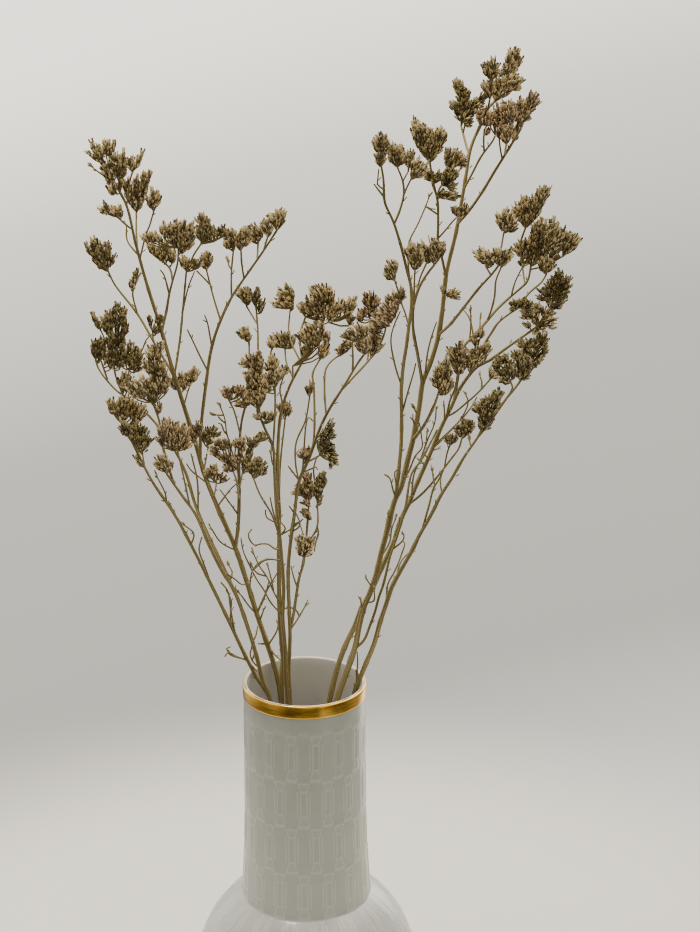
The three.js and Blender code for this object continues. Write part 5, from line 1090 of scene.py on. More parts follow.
bare("stem", -14, [56.3, 107.5, 57.7, 115.8, 60.8, 123.3, 64.6, 128.2, 64.2, 135, 63.2, 141.9])
bare("front strand", -4, [49, 72, 54, 77, 54.7, 80, 53.5, 82.3])
tell_spray()

# %% Middle right spray
spray("spray_mid_right", [-20, -10], 4)
limb("stem", "", 3, 1.2, 25, [14, -10, 16.3, 0, 19, 10, 22.8, 20, 27.6, 30, 31.5, 40, 37, 50, 41.5, 60, 46,
    69.5, 49.1, 76.3, 53.3, 89.1, 57.9, 98.6, 61.8, 108.2, 64.8, 115, 67.5, 121, 71.3, 130, 75.5, 140, 80.5,
    150, 85.1, 160, 90.5, 167.8, 94.9, 172.5, 102.4, 176.5, 110, 182.1, 118, 187.7, 128.5, 195], [125, 199,
    118.2, 199.4, 125, 200, 118.8, 202, 126, 201, 121, 203.7, 126, 201, 123, 203.2, 127, 202, 124, 206.3, 127,
    202, 126.5, 207.2, 128, 202, 129, 207.8, 129, 202, 130.7, 205, 128, 198, 126, 202, 127, 196, 124.5, 200,
    128, 194, 127.5, 191.5, 129, 194, 131.3, 192.2, 124, 193.8, 121.3, 194.8, 129, 196, 134, 194.5, 130, 196,
    137, 193.4, 130, 197, 137.2, 196.5, 131, 198, 138.8, 198, 131, 199, 137.7, 202, 131, 200, 134, 204])
limb("upper head", "stem", 1.2, 1, 34, [127, 194, 133, 202, 137, 209], [134, 204, 139.7, 205, 135, 205, 142.2,
    205, 136, 206, 143.9, 208, 134, 206, 133.5, 212, 133, 209, 127, 210.6, 134, 210, 128.4, 214.2, 135, 211,
    131, 214.7, 136, 212, 133, 214.2, 136, 214, 131.8, 217.2, 136.5, 215, 134, 218.7, 137, 215, 135, 220.8,
    138, 216, 136.5, 222.7, 139, 217, 138, 223.4, 140, 218, 139.4, 226.3, 141, 217, 141.5, 224.7, 141, 216,
    144.6, 222, 141, 215, 147.3, 221.3, 140, 213, 147, 217, 139, 211, 145.8, 213.5, 138, 209, 144.2, 210.5,
    140, 214, 145, 218, 138, 212, 140, 218])
limb("cluster mid", "stem", 1.2, 1, 12, [78, 145, 80, 154, 82.9, 161.1, 84, 168], [83, 176, 78, 180, 83, 177,
    78.8, 181.9, 84, 178, 81, 182.6, 84, 178, 83.5, 184.8, 85, 179, 86, 185.8, 85, 178, 87, 184, 83, 173, 79,
    177, 84, 172, 82, 177, 85, 171, 85, 178, 86, 172, 87.5, 179, 86, 175, 89.5, 182.5, 85, 169, 83.5, 175, 86,
    169, 88, 175, 84.5, 169, 81, 174])
limb("cluster right", "stem", 1.1, 0.9, 14, [89.5, 166.5, 92, 172], [91, 171, 88.5, 178, 92, 171, 90, 182.3,
    92.5, 172, 92, 182.3, 93, 172, 93.5, 181.6, 94, 173, 95.5, 183.7, 94.5, 174, 97.5, 183.2, 95, 175, 99.5,
    185.3, 95.5, 176, 101.6, 184.8, 96, 176, 102.2, 181.5, 96, 175, 100.2, 178.4, 95, 173, 98.7, 176, 92, 170,
    89, 173, 96.5, 188.3, 98.9, 192.7, 94, 184, 93.5, 188.5, 94.5, 188, 96.5, 192.6, 94.3, 184, 92, 187])
limb("golden arm", "stem", 1.8, 1.2, 36, [82, 154, 84.5, 168, 86.5, 182, 92.5, 189.2, 98.1, 195.2, 105.3,
    203.6, 112, 210, 117.4, 214.6, 122.6, 219.8, 124.5, 228], [124, 229, 120.3, 234, 124, 231, 121.5, 239,
    125, 231, 124, 244, 126, 231, 125, 248.8, 127, 232, 126, 252.3, 128, 233, 128.2, 254.3, 128.5, 233, 130,
    255, 129, 233, 132.5, 252.6, 127, 229, 131, 236, 129, 236, 129.5, 246, 130, 237, 133.5, 250])
sprig("golden arm right", "golden arm", 28, [124, 226, 132, 228, 138, 231, 142.5, 233.5], [134, 236, 135.3,
    253.3, 135, 236, 137, 254.2, 136, 236, 138.5, 252.6, 137, 236, 140.5, 249.7, 138, 236, 142.6, 248.8, 139,
    236, 144.2, 246.6, 142, 236, 145.5, 245.7, 143, 235.5, 148, 245.6, 144, 235, 150, 245, 144, 235, 152, 243,
    143, 234.5, 149.2, 239, 142, 234, 147.2, 235.8, 136, 232, 138.5, 240, 132, 232, 134, 244])
sprig("golden arm left", "golden arm", 44, [121, 218.5, 119.5, 230], [119, 233, 114, 237.7, 120, 233, 115.7,
    240.2, 120.5, 234, 118, 241.8, 121, 234, 120.5, 241.6, 121.5, 235, 123, 242.7, 120.5, 228, 123, 229.3,
    120, 228, 119, 229.6])
limb("comb head", "golden arm left", 1.1, 1, 30, [119.8, 228, 118.7, 240, 121.5, 249], [119, 252, 114.1, 257,
    119.5, 253, 113.6, 260.7, 120, 253, 116, 261.9, 121, 252, 118.2, 262.8, 121, 254, 119.5, 266, 122, 254,
    121.5, 265.3, 123, 252, 123.3, 264.8, 123, 253, 125.5, 267.2, 124, 254, 127.5, 267.3, 125, 254, 129,
    268.6, 126, 256, 130, 271.6, 128, 260, 132.5, 272.5, 129, 262, 135.6, 271, 128, 258, 132.7, 265, 126, 253,
    129.7, 259, 124, 251, 126, 256])
limb("thin left", "golden arm", 1.1, 0.9, 20, [100.5, 198, 102.5, 203.2, 104.5, 211.1, 105.3, 220, 108, 227],
    [108, 228, 107.5, 233, 108.5, 228, 110.5, 235, 109, 228, 113.3, 233.5])
limb("second arm", "stem", 1.5, 1, 16, [94, 171.7, 98.5, 184, 103.3, 192, 106.5, 196.8, 112.5, 201.6, 118,
    205], [116, 205, 113.5, 206.7, 117, 205, 114.8, 208.3, 118, 205.5, 117.5, 208.3, 119, 205.5, 119, 209.6,
    120, 205.5, 121.6, 210, 121, 205.5, 124, 208.5, 121, 205, 125.4, 207, 121, 204.5, 124, 203.3, 117, 205,
    114.3, 203.5])
limb("second arm up", "second arm", 1.1, 0.9, 26, [117, 204.5, 123.8, 213.4, 130.6, 219.4, 133, 223.5], [131,
    225, 128, 229.7, 131.5, 225, 130, 233, 132.5, 225, 132.5, 234, 133, 225, 135, 233, 133.5, 225, 137.8, 231,
    133.5, 225, 138, 227.4, 132, 224.5, 134.7, 225.8])
limb("bract twig", "stem", 1.1, 0.9, -4, [78, 145, 82.5, 147.4, 88.9, 152.6, 94.9, 157.8, 102, 165.5], [102,
    167, 101, 172, 103, 167.5, 104.3, 170, 102.5, 167, 105.3, 168.2, 103, 166.5, 105, 167])
limb("low twig", "stem", 1.4, 1, 4, [56.8, 96.3, 64.6, 102.7, 70.5, 109, 75.3, 114.9, 80.5, 121.7, 84.9,
    127.7, 86.5, 133], [87, 135, 81.8, 137.7, 88, 136, 82.6, 140, 88, 137, 86, 141.7, 88.5, 138, 87, 144.7,
    89, 138, 88.5, 143.7, 90, 138, 90.5, 142.3, 90.5, 137, 92, 142.7, 90.5, 137, 93.7, 141.3, 90, 136, 93.5,
    139, 89, 135, 91.5, 137, 87, 134, 83.5, 135])
sprig("low twig left", "low twig", 8, [77, 117, 78.5, 125.5, 80, 129.5], [80, 130.5, 77.3, 133.2, 80.5, 131,
    79, 134.3, 81, 131, 81, 134.7, 82, 131, 83.6, 135.2, 81.5, 130.5, 83.6, 132.5, 80, 130, 78.3, 131])
tone("dark", "upper head", "second arm", "low twig", "low twig left")
bare("stem", 4, [71.3, 126.8, 75.3, 132, 79.3, 136.4, 86.1, 143.4, 92.1, 151, 94.9, 156])
bare("stem", 6, [72, 128.5, 77.3, 135, 85.5, 143.3, 89.3, 150.2, 90, 153.6, 88.8, 157], bud=True)
fork = bare("stem", -8, [56.7, 102, 60.1, 113, 64.2, 122.7, 67.7, 132.3, 71.6, 141.9, 72.5, 150.8])
bare(fork, -8, [64.6, 124, 66.6, 130, 67.5, 136.7], bud=True)
bare("stem", 2, [68, 122, 66, 124.5], bud=True)
bare("stem", 6, [70, 126, 72.8, 127.4], bud=True)
bare("stem", -2, [66, 118.5, 63.8, 120.6], bud=True)
bare("golden arm", 34, [92.7, 189.5, 92.1, 194.4, 90.1, 200.4, 86.9, 204.5])
bare("golden arm", 28, [91, 187, 91.5, 197, 91.3, 204], bud=True)
bare("golden arm", 32, [94.5, 191, 96.3, 194, 96.5, 200], bud=True)
bare("golden arm", 24, [113.8, 211.5, 114.3, 214, 116, 219.6, 119.7, 227.2], bud=True)
bare("stem", 14, [76.9, 143, 76.9, 149, 76.5, 154])
bare("bract twig", 4, [97.2, 160.5, 97.5, 164.5, 96.5, 167.4], bud=True)
bare("bract twig", 4, [101.8, 165.5, 103.4, 168, 104.6, 170.5, 105, 174.3, 106.5, 175.4, 110.4, 177.7])
tell_spray()

# %% Outer right spray
spray("spray_outer_right", [-13, -25], -2)
limb("stem", "", 2.8, 1.1, -34, [27.2, -8, 30, 0, 34.1, 10, 38.2, 20, 41.7, 32.4, 44.9, 42, 48.3, 52, 53.1,
    60.8, 59.1, 71.5, 63.4, 80.3, 69.4, 90.7, 75.2, 102.2, 80.8, 110.9, 88, 123.3, 95.6, 134.4, 98.5, 141],
    [98, 141, 95.4, 145, 98.5, 142, 96, 147, 98, 146, 91.8, 149, 98, 148, 92.3, 151.7, 98, 149, 95.3, 152.3,
    99, 151, 97.3, 154.3, 100, 151, 99.3, 155.2, 101, 152, 101, 156.2, 102, 152, 102.5, 157.3, 103.5, 153,
    103.8, 158, 104.5, 153, 105.5, 158.7, 106, 153, 107, 160.7, 106, 153, 108.5, 158.5, 104, 149, 107.7, 155,
    103, 148, 106.7, 151.4, 102, 146, 105.7, 149, 101, 144, 103.7, 146.5, 100, 141, 104, 143.5, 99, 139,
    102.2, 141.4, 98, 138, 100.7, 138.4, 97.5, 138, 96, 141, 99, 145, 97.5, 150, 100, 147, 101, 152])
limb("far arm", "stem", 1.6, 1.1, -24, [95.6, 134.4, 104, 145.4, 111.2, 155.4, 118, 163.8, 120, 167], [119,
    167, 115, 171, 119, 168, 116, 175, 119, 170, 117.5, 179, 119.5, 172, 118.5, 181.5, 120, 172, 121, 180,
    121, 170, 123.5, 177.5, 121, 169, 125, 175, 121, 167, 125.5, 171.5, 120, 166, 123.7, 169, 119, 165.5,
    122.2, 165.8, 117, 176, 113.3, 178.9, 117, 177, 116, 180.2, 118, 166, 116.5, 169])
limb("far arm top", "far arm", 1.1, 1, -16, [119.5, 166, 123, 173, 126, 179], [122, 180, 118, 187.6, 121, 182,
    117.3, 185.1, 123, 181, 119.5, 184, 123.5, 182, 121.5, 187.7, 124.5, 182, 124.5, 187.3, 126, 182, 127,
    187.4, 128, 184, 128, 190.4, 129, 184, 130, 191.7, 130, 184, 132.2, 190.6, 130, 184, 134, 187.5, 130, 182,
    133.7, 184, 130, 180, 133.5, 180.5, 128, 178, 132.2, 178.7, 126, 175, 131, 176.3, 125, 174, 129.2, 174.9,
    124, 173, 127, 172.6, 125, 179, 121, 182, 122, 178, 118, 181, 122, 176, 117.5, 179, 126, 177, 127, 183])
sprig("far arm left", "far arm", -36, [110.5, 154.5, 114.4, 161, 112.5, 165.5], [112, 166, 104.8, 169.5, 112,
    167, 106.3, 170.2, 112, 168, 109, 171.2, 113, 168, 110.5, 176, 113, 170, 112.8, 176.2, 113, 172, 115, 176,
    112, 164.5, 107.3, 164.4, 113, 165, 109, 167, 114, 166, 113, 172, 115, 166, 115, 171, 111, 163, 109.5,
    166, 106, 171, 105, 175, 107, 172, 106.5, 175.7, 108, 173.5, 108, 177.7, 109.5, 175, 111.4, 179.2, 110,
    174, 112, 177])
limb("inner twig", "stem", 1.2, 0.9, -26, [64.6, 82, 68.6, 96.7, 71, 105.8, 74.1, 110.9, 76.5, 116])
limb("broken stub", "stem", 2, 1.3, -2, [28.6, -4, 29.2, 1, 28.6, 6.2])
tone("dark", "")
bare("stem", -6, [44.6, 42, 45.9, 53.3, 49.1, 59.2, 51.5, 64.4, 53.5, 70, 55.1, 75.5, 53.9, 77.1])
bare("stem", -10, [50.3, 56, 52, 63, 54.3, 67.2, 59.4, 72])
bare("inner twig", -22, [71.2, 107, 70.5, 113.3, 70.1, 116], bud=True)
bare("stem", -18, [75.5, 103, 74.7, 109, 75.7, 114.9])
bare("broken stub", 0, [29, 4, 29.2, 10.5, 28.9, 16])
bare("stem", -4, [91, 128.8, 90.6, 133], bud=True)
tell_spray()

# %% [markdown]
# ## Routes in space
# A branch starts on its parent's centreline, at the point nearest to its first sheet point, and its
# depth eases along its length. A smooth curve through the points then gives the stem its slightly
# wavy line, with a ring every two millimetres.

# %% Routes
RING_STEP_MM = 2.0
SEED = 17
# A bare twig goes no further in depth than this share of its length
TWIG_DEPTH_SHARE = 0.5


def draw(i, j):
    """A repeatable draw between 0 and 1 for a pair of counts: the fraction of a large sine."""
    wave = math.sin((i + SEED) * 12.9898 + (j + SEED) * 78.233) * 43758.5453
    return wave - math.floor(wave)


def nearest_on(route, point):
    """The sheet point and depth of a route's line that is nearest to a sheet point."""
    best_gap, best = math.inf, None
    for a, b in zip(route, route[1:]):
        run = (b[0] - a[0], b[1] - a[1])
        along = ((point[0] - a[0]) * run[0] + (point[1] - a[1]) * run[1]) / (run[0] ** 2 + run[1] ** 2)
        t = min(max(along, 0), 1)
        spot = tuple(mix(a[k], b[k], t) for k in range(3))
        gap = math.hypot(spot[0] - point[0], spot[1] - point[1])
        if gap < best_gap:
            best_gap, best = gap, spot
    return best


def route_with_depths(branch, parent_route, rim_depth):
    """A branch's route with a depth at each point. It starts on its parent, or at the rim."""
    route = [tuple(point) for point in branch["route"]]
    start = rim_depth
    if parent_route:
        root = nearest_on(parent_route, route[0])
        route[0], start = root[:2], root[2]
    run = [0.0]
    for a, b in zip(route, route[1:]):
        run.append(run[-1] + math.hypot(b[0] - a[0], b[1] - a[1]))
    end = branch["depth"]
    if "bud" in branch:
        reach = run[-1] * TWIG_DEPTH_SHARE
        end = min(max(end, start - reach), start + reach)
    return [(*point, mix(start, end, length / run[-1])) for point, length in zip(route, run)]


def smooth_path(points, step):
    """Points about a step apart on a centripetal Catmull-Rom curve through the given points."""
    if len(points) == 2:
        count = max(2, round((points[1] - points[0]).length / step))
        return [points[0].lerp(points[1], i / count) for i in range(count + 1)]
    ends = [points[0] * 2 - points[1], *points, points[-1] * 2 - points[-2]]
    path = [points[0].copy()]
    for p0, p1, p2, p3 in zip(ends, ends[1:], ends[2:], ends[3:]):
        t1 = (p1 - p0).length ** 0.5
        t2 = t1 + (p2 - p1).length ** 0.5
        t3 = t2 + (p3 - p2).length ** 0.5
        count = max(1, round((p2 - p1).length / step))
        for i in range(1, count + 1):
            t = mix(t1, t2, i / count)
            a1 = p0.lerp(p1, t / t1)
            a2 = p1.lerp(p2, (t - t1) / (t2 - t1))
            a3 = p2.lerp(p3, (t - t2) / (t3 - t2))
            b1 = a1.lerp(a2, t / t2)
            b2 = a2.lerp(a3, (t - t1) / (t3 - t1))
            path.append(b1.lerp(b2, (t - t1) / (t2 - t1)))
    return path


print("route helpers ready")

# %% [markdown]
# ## Dry stems
# A statice stem is a few millimetres thick, ribbed lengthwise and slightly swollen where a branch
# leaves it. Dry, it is golden tan with paler and olive streaks, and fine twigs are darker. Curve to
# Mesh sweeps a ring along every route at once, with the thickness stored on each point.

# %% Stem material
STREAKS_ROUND = 1.3
STREAK_LENGTH_MM = 45
BARK_PATCH_MM = 14
PATCH_SHARE = 0.35

dry_stem, tree, shader, spot = start_material("dry_ribbed_stem")
section, run, fine = (
    add_node(tree, "ShaderNodeAttribute", attribute_name=name)
    for name in ("section", "streak_run", "fineness")
)
run_vector = add_node(tree, "ShaderNodeCombineXYZ", {"Z": run.outputs["Fac"]})
grain_space = add_node(tree, "ShaderNodeVectorMath", {
    0: section.outputs["Vector"], 1: (STREAKS_ROUND, STREAKS_ROUND, 0), 2: run_vector.outputs["Vector"],
}, operation="MULTIPLY_ADD")
grain = add_node(tree, "ShaderNodeTexNoise", {
    "Vector": grain_space.outputs["Vector"], "Scale": 1.0, "Detail": 2.0, "Roughness": 0.5,
})
patches = add_node(tree, "ShaderNodeTexNoise", {"Vector": spot, "Scale": 1 / BARK_PATCH_MM, "Detail": 2.0})
bark = add_node(tree, "ShaderNodeValToRGB", {"Fac": grain.outputs["Fac"]},
                stops=[(0.3, "4c3c1b"), (0.48, "7c6e3c"), (0.68, "b3a46c")])
olive = add_node(tree, "ShaderNodeMix", {
    0: patches.outputs["Fac"], MIX_A: linear("97834d"), MIX_B: linear("665b31"),
}, data_type="RGBA")
blended = add_node(tree, "ShaderNodeMix", {
    0: PATCH_SHARE, MIX_A: bark.outputs["Color"], MIX_B: olive.outputs[MIX_RESULT],
}, data_type="RGBA")
stem_colour = add_node(tree, "ShaderNodeMix", {
    0: fine.outputs["Fac"], MIX_A: blended.outputs[MIX_RESULT], MIX_B: linear("7d6f3e"),
}, data_type="RGBA")
bump = add_node(tree, "ShaderNodeBump", {
    "Height": grain.outputs["Fac"], "Strength": 0.3, "Distance": 0.0002,
})
fill(tree, shader, {
    "Base Color": stem_colour.outputs[MIX_RESULT], "Roughness": 0.62, "Normal": bump.outputs["Normal"],
})
print("material:", dry_stem.name)

# %% [markdown]
# Both trees of this model work on points: the stems' rings and the calyces' places. So they share
# helpers, which start a tree with named inputs, end it in Realize Instances and Set Material, and
# take its result as a plain mesh, because only plain meshes can be exported.

# %% Geometry tree helpers
def start_tree(name, inputs):
    """A new geometry tree with named inputs besides its geometry, and its Group Input node."""
    tree = bpy.data.node_groups.new(name, "GeometryNodeTree")
    for label, kind in {"Geometry": "Geometry", **inputs}.items():
        tree.interface.new_socket(label, in_out="INPUT", socket_type="NodeSocket" + kind)
    tree.interface.new_socket("Geometry", in_out="OUTPUT", socket_type="NodeSocketGeometry")
    return tree, add_node(tree, "NodeGroupInput")


def end_tree(tree, made, given):
    """Ends a tree in Realize Instances and Set Material."""
    real = add_node(tree, "GeometryNodeRealizeInstances", {"Geometry": made})
    dressed = add_node(tree, "GeometryNodeSetMaterial", {
        "Geometry": real.outputs["Geometry"], "Material": given.outputs["Material"],
    })
    add_node(tree, "NodeGroupOutput", {"Geometry": dressed.outputs["Geometry"]})
    print("tree:", tree.name)


def socket_id(tree, name):
    """The identifier of a tree's input, which its modifier's value is set by."""
    return next(item.identifier for item in tree.interface.items_tree
                if item.item_type == "SOCKET" and item.in_out == "INPUT" and item.name == name)


def run_tree(name, mesh, tree, values):
    """Runs a tree on a mesh and returns a plain object with the result."""
    source = bpy.data.objects.new(name + "_source", mesh)
    bpy.context.scene.collection.objects.link(source)
    modifier = source.modifiers.new("tree", "NODES")
    modifier.node_group = tree
    for key, value in values.items():
        modifier[socket_id(tree, key)] = value
    graph = bpy.context.evaluated_depsgraph_get()
    result = bpy.data.meshes.new_from_object(source.evaluated_get(graph))
    bpy.data.objects.remove(source)
    piece = bpy.data.objects.new(name, result)
    bpy.context.scene.collection.objects.link(piece)
    return piece


print("tree helpers ready")

# %% Stem tree
STEM_SIDES = 6

stem_tree, given = start_tree("swept_stems", {"Sides": "Int", "Material": "Material"})
routes_in = add_node(stem_tree, "GeometryNodeMeshToCurve", {"Mesh": given.outputs["Geometry"]})
circle = add_node(stem_tree, "GeometryNodeCurvePrimitiveCircle", {
    "Resolution": given.outputs["Sides"], "Radius": 1.0,
})
circle_place = add_node(stem_tree, "GeometryNodeInputPosition")
section = add_node(stem_tree, "GeometryNodeStoreNamedAttribute", {
    "Geometry": circle.outputs["Curve"], "Name": "section", "Value": circle_place.outputs["Position"],
}, data_type="FLOAT_VECTOR", domain="POINT")
radius_of = add_node(stem_tree, "GeometryNodeInputNamedAttribute", {"Name": "radius_m"}, data_type="FLOAT")
swept = add_node(stem_tree, "GeometryNodeCurveToMesh", {
    "Curve": routes_in.outputs["Curve"], "Profile Curve": section.outputs["Geometry"],
    "Scale": radius_of.outputs["Attribute"], "Fill Caps": True,
})
end_tree(stem_tree, swept.outputs["Mesh"], given)

# %% [markdown]
# ## Papery calyces
# What looks like a flower on dried statice is its calyx: a dry funnel three to four millimetres
# long that stays on when the petals fall. They stand in small groups, the florets, on both sides of
# each arm of a head. One is modelled with nine faces, pale in its middle and painted dark at its
# base and its rim: painted shade between the crowded calyces of a floret and along the heads'
# outline. Instance on Points sets it at every place with its own direction, size and colour.

# %% Calyx material
FIBRES_PER_MM = 2.5

calyx_material, tree, shader, spot = start_material("papery_calyx")
along, brown, dark, shade = (
    add_node(tree, "ShaderNodeAttribute", attribute_name=name).outputs["Fac"]
    for name in ("along", "brown", "dark", "shade")
)
# Colours from the base of a calyx (0) to its rim (1): the dark base is painted shade among the
# calyces of a floret, and the darker rim is painted shade along the heads' outline
golden_colour, brown_colour, dark_colour = (
    add_node(tree, "ShaderNodeValToRGB", {"Fac": along}, stops=stops).outputs["Color"] for stops in (
        [(0.0, "2a1d07"), (0.3, "8c6f35"), (0.55, "e6d29a"), (0.8, "f0e0ae"), (1.0, "94763c")],
        [(0.0, "2e1f0c"), (0.3, "86663a"), (0.55, "dabf90"), (0.8, "e2c99c"), (1.0, "8c6a3e")],
        [(0.0, "1a1506"), (0.3, "544722"), (0.6, "a5975f"), (0.8, "b3a672"), (1.0, "5e5128")],
    )
)
colour = golden_colour
for share, other in ((brown, brown_colour), (dark, dark_colour), (shade, linear("38280b"))):
    mixed = add_node(tree, "ShaderNodeMix", {0: share, MIX_A: colour, MIX_B: other}, data_type="RGBA")
    colour = mixed.outputs[MIX_RESULT]
fibre = add_node(tree, "ShaderNodeTexNoise", {"Vector": spot, "Scale": FIBRES_PER_MM, "Detail": 3.0})
bump = add_node(tree, "ShaderNodeBump", {
    "Height": fibre.outputs["Fac"], "Strength": 0.5, "Distance": 0.0002,
})
fill(tree, shader, {"Base Color": colour, "Roughness": 0.55, "Normal": bump.outputs["Normal"]})
print("material:", calyx_material.name)

# %% Calyx shape
CALYX_SIDES = 3
# Radius and height of the calyx from its base to its tip, both a unit at most
CALYX_PROFILE = [(0, 0), (0.75, 0.3), (1.0, 0.86), (0, 1.0)]


def turned_shape(name, sides, profile):
    """A small closed shape about +Z, a unit long, with its share of the length on each point."""
    bottom, *rings, tip = profile
    points = [(0, 0, bottom[1])]
    for radius, z in rings:
        for k in range(sides):
            turn = 2 * math.pi * k / sides
            points.append((radius * math.cos(turn), radius * math.sin(turn), z))
    points.append((0, 0, tip[1]))
    top = len(points) - 1
    faces = []
    for k in range(sides):
        n = (k + 1) % sides
        faces.append((0, 1 + n, 1 + k))
        for j in range(len(rings) - 1):
            a, b = 1 + j * sides, 1 + (j + 1) * sides
            faces.append((a + k, a + n, b + n, b + k))
        last = 1 + (len(rings) - 1) * sides
        faces.append((last + k, last + n, top))
    mesh = bpy.data.meshes.new(name)
    mesh.from_pydata(points, [], faces)
    mesh.attributes.new("along", "FLOAT", "POINT").data.foreach_set("value", [point[2] for point in points])
    shape = bpy.data.objects.new(name, mesh)
    bpy.context.scene.collection.objects.link(shape)
    return shape


calyx_shape = turned_shape("calyx_shape", CALYX_SIDES, CALYX_PROFILE)
print("calyx faces:", len(calyx_shape.data.polygons))

# %% Scatter tree
scatter_tree, given = start_tree("set_calyces", {"Shape": "Object", "Material": "Material"})
shape_in = add_node(scatter_tree, "GeometryNodeObjectInfo", {"Object": given.outputs["Shape"]})
facing, size = (
    add_node(scatter_tree, "GeometryNodeInputNamedAttribute", {"Name": name}, data_type="FLOAT_VECTOR")
    for name in ("facing", "size")
)
turned = add_node(scatter_tree, "FunctionNodeAlignRotationToVector", {
    "Vector": facing.outputs["Attribute"],
}, axis="Z")
points_in = add_node(scatter_tree, "GeometryNodeMeshToPoints", {"Mesh": given.outputs["Geometry"]})
placed = add_node(scatter_tree, "GeometryNodeInstanceOnPoints", {
    "Points": points_in.outputs["Points"], "Instance": shape_in.outputs["Geometry"],
    "Rotation": turned.outputs["Rotation"], "Scale": size.outputs["Attribute"],
})
end_tree(scatter_tree, placed.outputs["Instances"], given)

# %% [markdown]
# ## Growing a spray
# A spray collects two lists: rings for the stems, and places for the calyces. Each arm of a head
# sags a little and rises again towards its tip. Florets of four calyces stand in pairs along it and
# lean forwards and out, like the teeth of a comb. Small scales sit on the stems where buds failed.

# %% Stem rings
TAPER_POWER = 2
UNEVENNESS = 0.05
JOINT_SWELLING = 0.16
RINGS_PER_JOINT = 13
# Thinner than this, a stem looks more and more like a fine twig, over the range below it
FINE_BELOW_MM, FINE_RANGE_MM = 1.3, 0.8
# Sets the streaks of each chain apart from the others'
CHAIN_SHIFT = 3.7


class Growth:
    """What a spray is made of: stem rings in chains, and the places of its calyces."""

    def __init__(self):
        self.points, self.chains, self.radii, self.fineness, self.runs = [], [], [], [], []
        self.spots, self.facings, self.sizes, self.tones = [], [], [], []

    def add_chain(self, path, radii, fineness):
        first = len(self.points)
        self.points += path
        self.radii += radii
        self.fineness += [fineness] * len(path)
        start = first * CHAIN_SHIFT
        self.runs += [start + (point - path[0]).length / STREAK_LENGTH_MM for point in path]
        self.chains += [(first + i, first + i + 1) for i in range(len(path) - 1)]

    def add_calyx(self, spot, facing, length, radius, brown, dark, shade):
        self.spots.append(spot)
        self.facings.append(facing.normalized())
        self.sizes.append((radius, radius, length))
        self.tones.append((brown, dark, shade))


def add_bar(growth, path, thick, thin, salt, even_count):
    """A swept bar along a path: even for its first rings, then slimmer towards its end.

    Its thickness is slightly uneven, with a swelling at each joint.
    """
    last = max(1, len(path) - 1)
    radii = []
    for i in range(len(path)):
        share = max(0, i - even_count) / max(1, last - even_count)
        uneven = 1 + UNEVENNESS * (draw(salt, i // 3) - 0.5) * 2
        from_joint = abs((i + salt * 5) % RINGS_PER_JOINT - RINGS_PER_JOINT // 2)
        swelling = 1 + JOINT_SWELLING * max(0, 1 - from_joint / 1.5)
        radii.append(mix(thick, thin, share ** TAPER_POWER) / 2 * uneven * swelling)
    growth.add_chain(path, radii, max(0.0, min(1.0, (FINE_BELOW_MM - thick) / FINE_RANGE_MM)))


print("growth helpers ready")

# %% Florets
FLORET_SPACING_MM = 2.5
FLORET_CALYCES = 4
FLORET_WIDTH_MM = 0.75
FLORET_OPENING = 0.12
CALYX_LENGTH_MM = 3.7
CALYX_RADIUS_MM = 0.54
# The share of calyces that sit in the others' shade, and how dark those and the rest are
SHADED_SHARE = 0.42
SHADE_LEAST, SHADE_RANGE = 0.6, 0.35
SHADE_OF_OTHERS = 0.15


def wild(salt, first=7):
    """A short vector in any direction."""
    return Vector([draw(salt, first + axis) - 0.5 for axis in range(3)]) * 2


def add_floret(growth, spot, direction, kind, salt):
    """A floret: a few calyces that open from one point, some of them in the others' shade."""
    brown = min(1.0, (0.8 if kind == "brown" else 0.0) + 0.6 * draw(salt, 12) ** 3)
    dark = min(1.0, (0.7 if kind == "dark" else 0.0) + 0.7 * draw(salt, 13) ** 4)
    size = 0.8 + 0.35 * draw(salt, 10)
    for k in range(FLORET_CALYCES):
        pick = salt * 11 + k
        hidden = draw(pick, 14)
        shade = SHADE_OF_OTHERS * (hidden - SHADED_SHARE)
        if hidden < SHADED_SHARE:
            shade = SHADE_LEAST + SHADE_RANGE * draw(pick, 17)
        aside = wild(pick)
        growth.add_calyx(
            spot + aside * FLORET_WIDTH_MM, direction + aside * FLORET_OPENING,
            CALYX_LENGTH_MM * size * (0.7 + 0.45 * draw(pick, 15)),
            CALYX_RADIUS_MM * size * (0.8 + 0.4 * draw(pick, 16)), brown, dark, shade,
        )


print("calyces in a floret:", FLORET_CALYCES)

# %% Arms of a head
SET_LENGTH_MM = 13
SET_SHARE_MOST = 0.94
STALK_STEP_MM = 2.5
STALK_RADIUS_MM, STALK_TIP_RADIUS_MM = 0.4, 0.28
STALK_FINENESS = 0.7
ARM_SAG = 0.14
# How far florets turn from the arm's upper side, in degrees: on an arm along the comb, and across it
SPREAD_ALONG, SPREAD_ACROSS, SPREAD_WOBBLE = 90, 50, 1.1
LEANING_GAIN, LEANING_LEAST = 1.3, 0.12
# Where the two florets of a pair stand in their share of the arm, and how far off that they may be
PAIR_MIDDLE, PAIR_OFFSET, PAIR_WOBBLE = 0.25, 0.25, 0.3
# What a floret's direction is mixed from: ahead, outwards at the base and at the tip, and up
LEAN_AHEAD, LEAN_OUT_BASE, LEAN_OUT_TIP, LEAN_UP = 0.95, 0.55, 0.3, 0.5


def bend(base, control, tip, t):
    """A point of a quadratic curve and the direction that it runs in there."""
    spot = base.lerp(control, t).lerp(control.lerp(tip, t), t)
    return spot, ((control - base) * (1 - t) + (tip - control) * t).normalized()


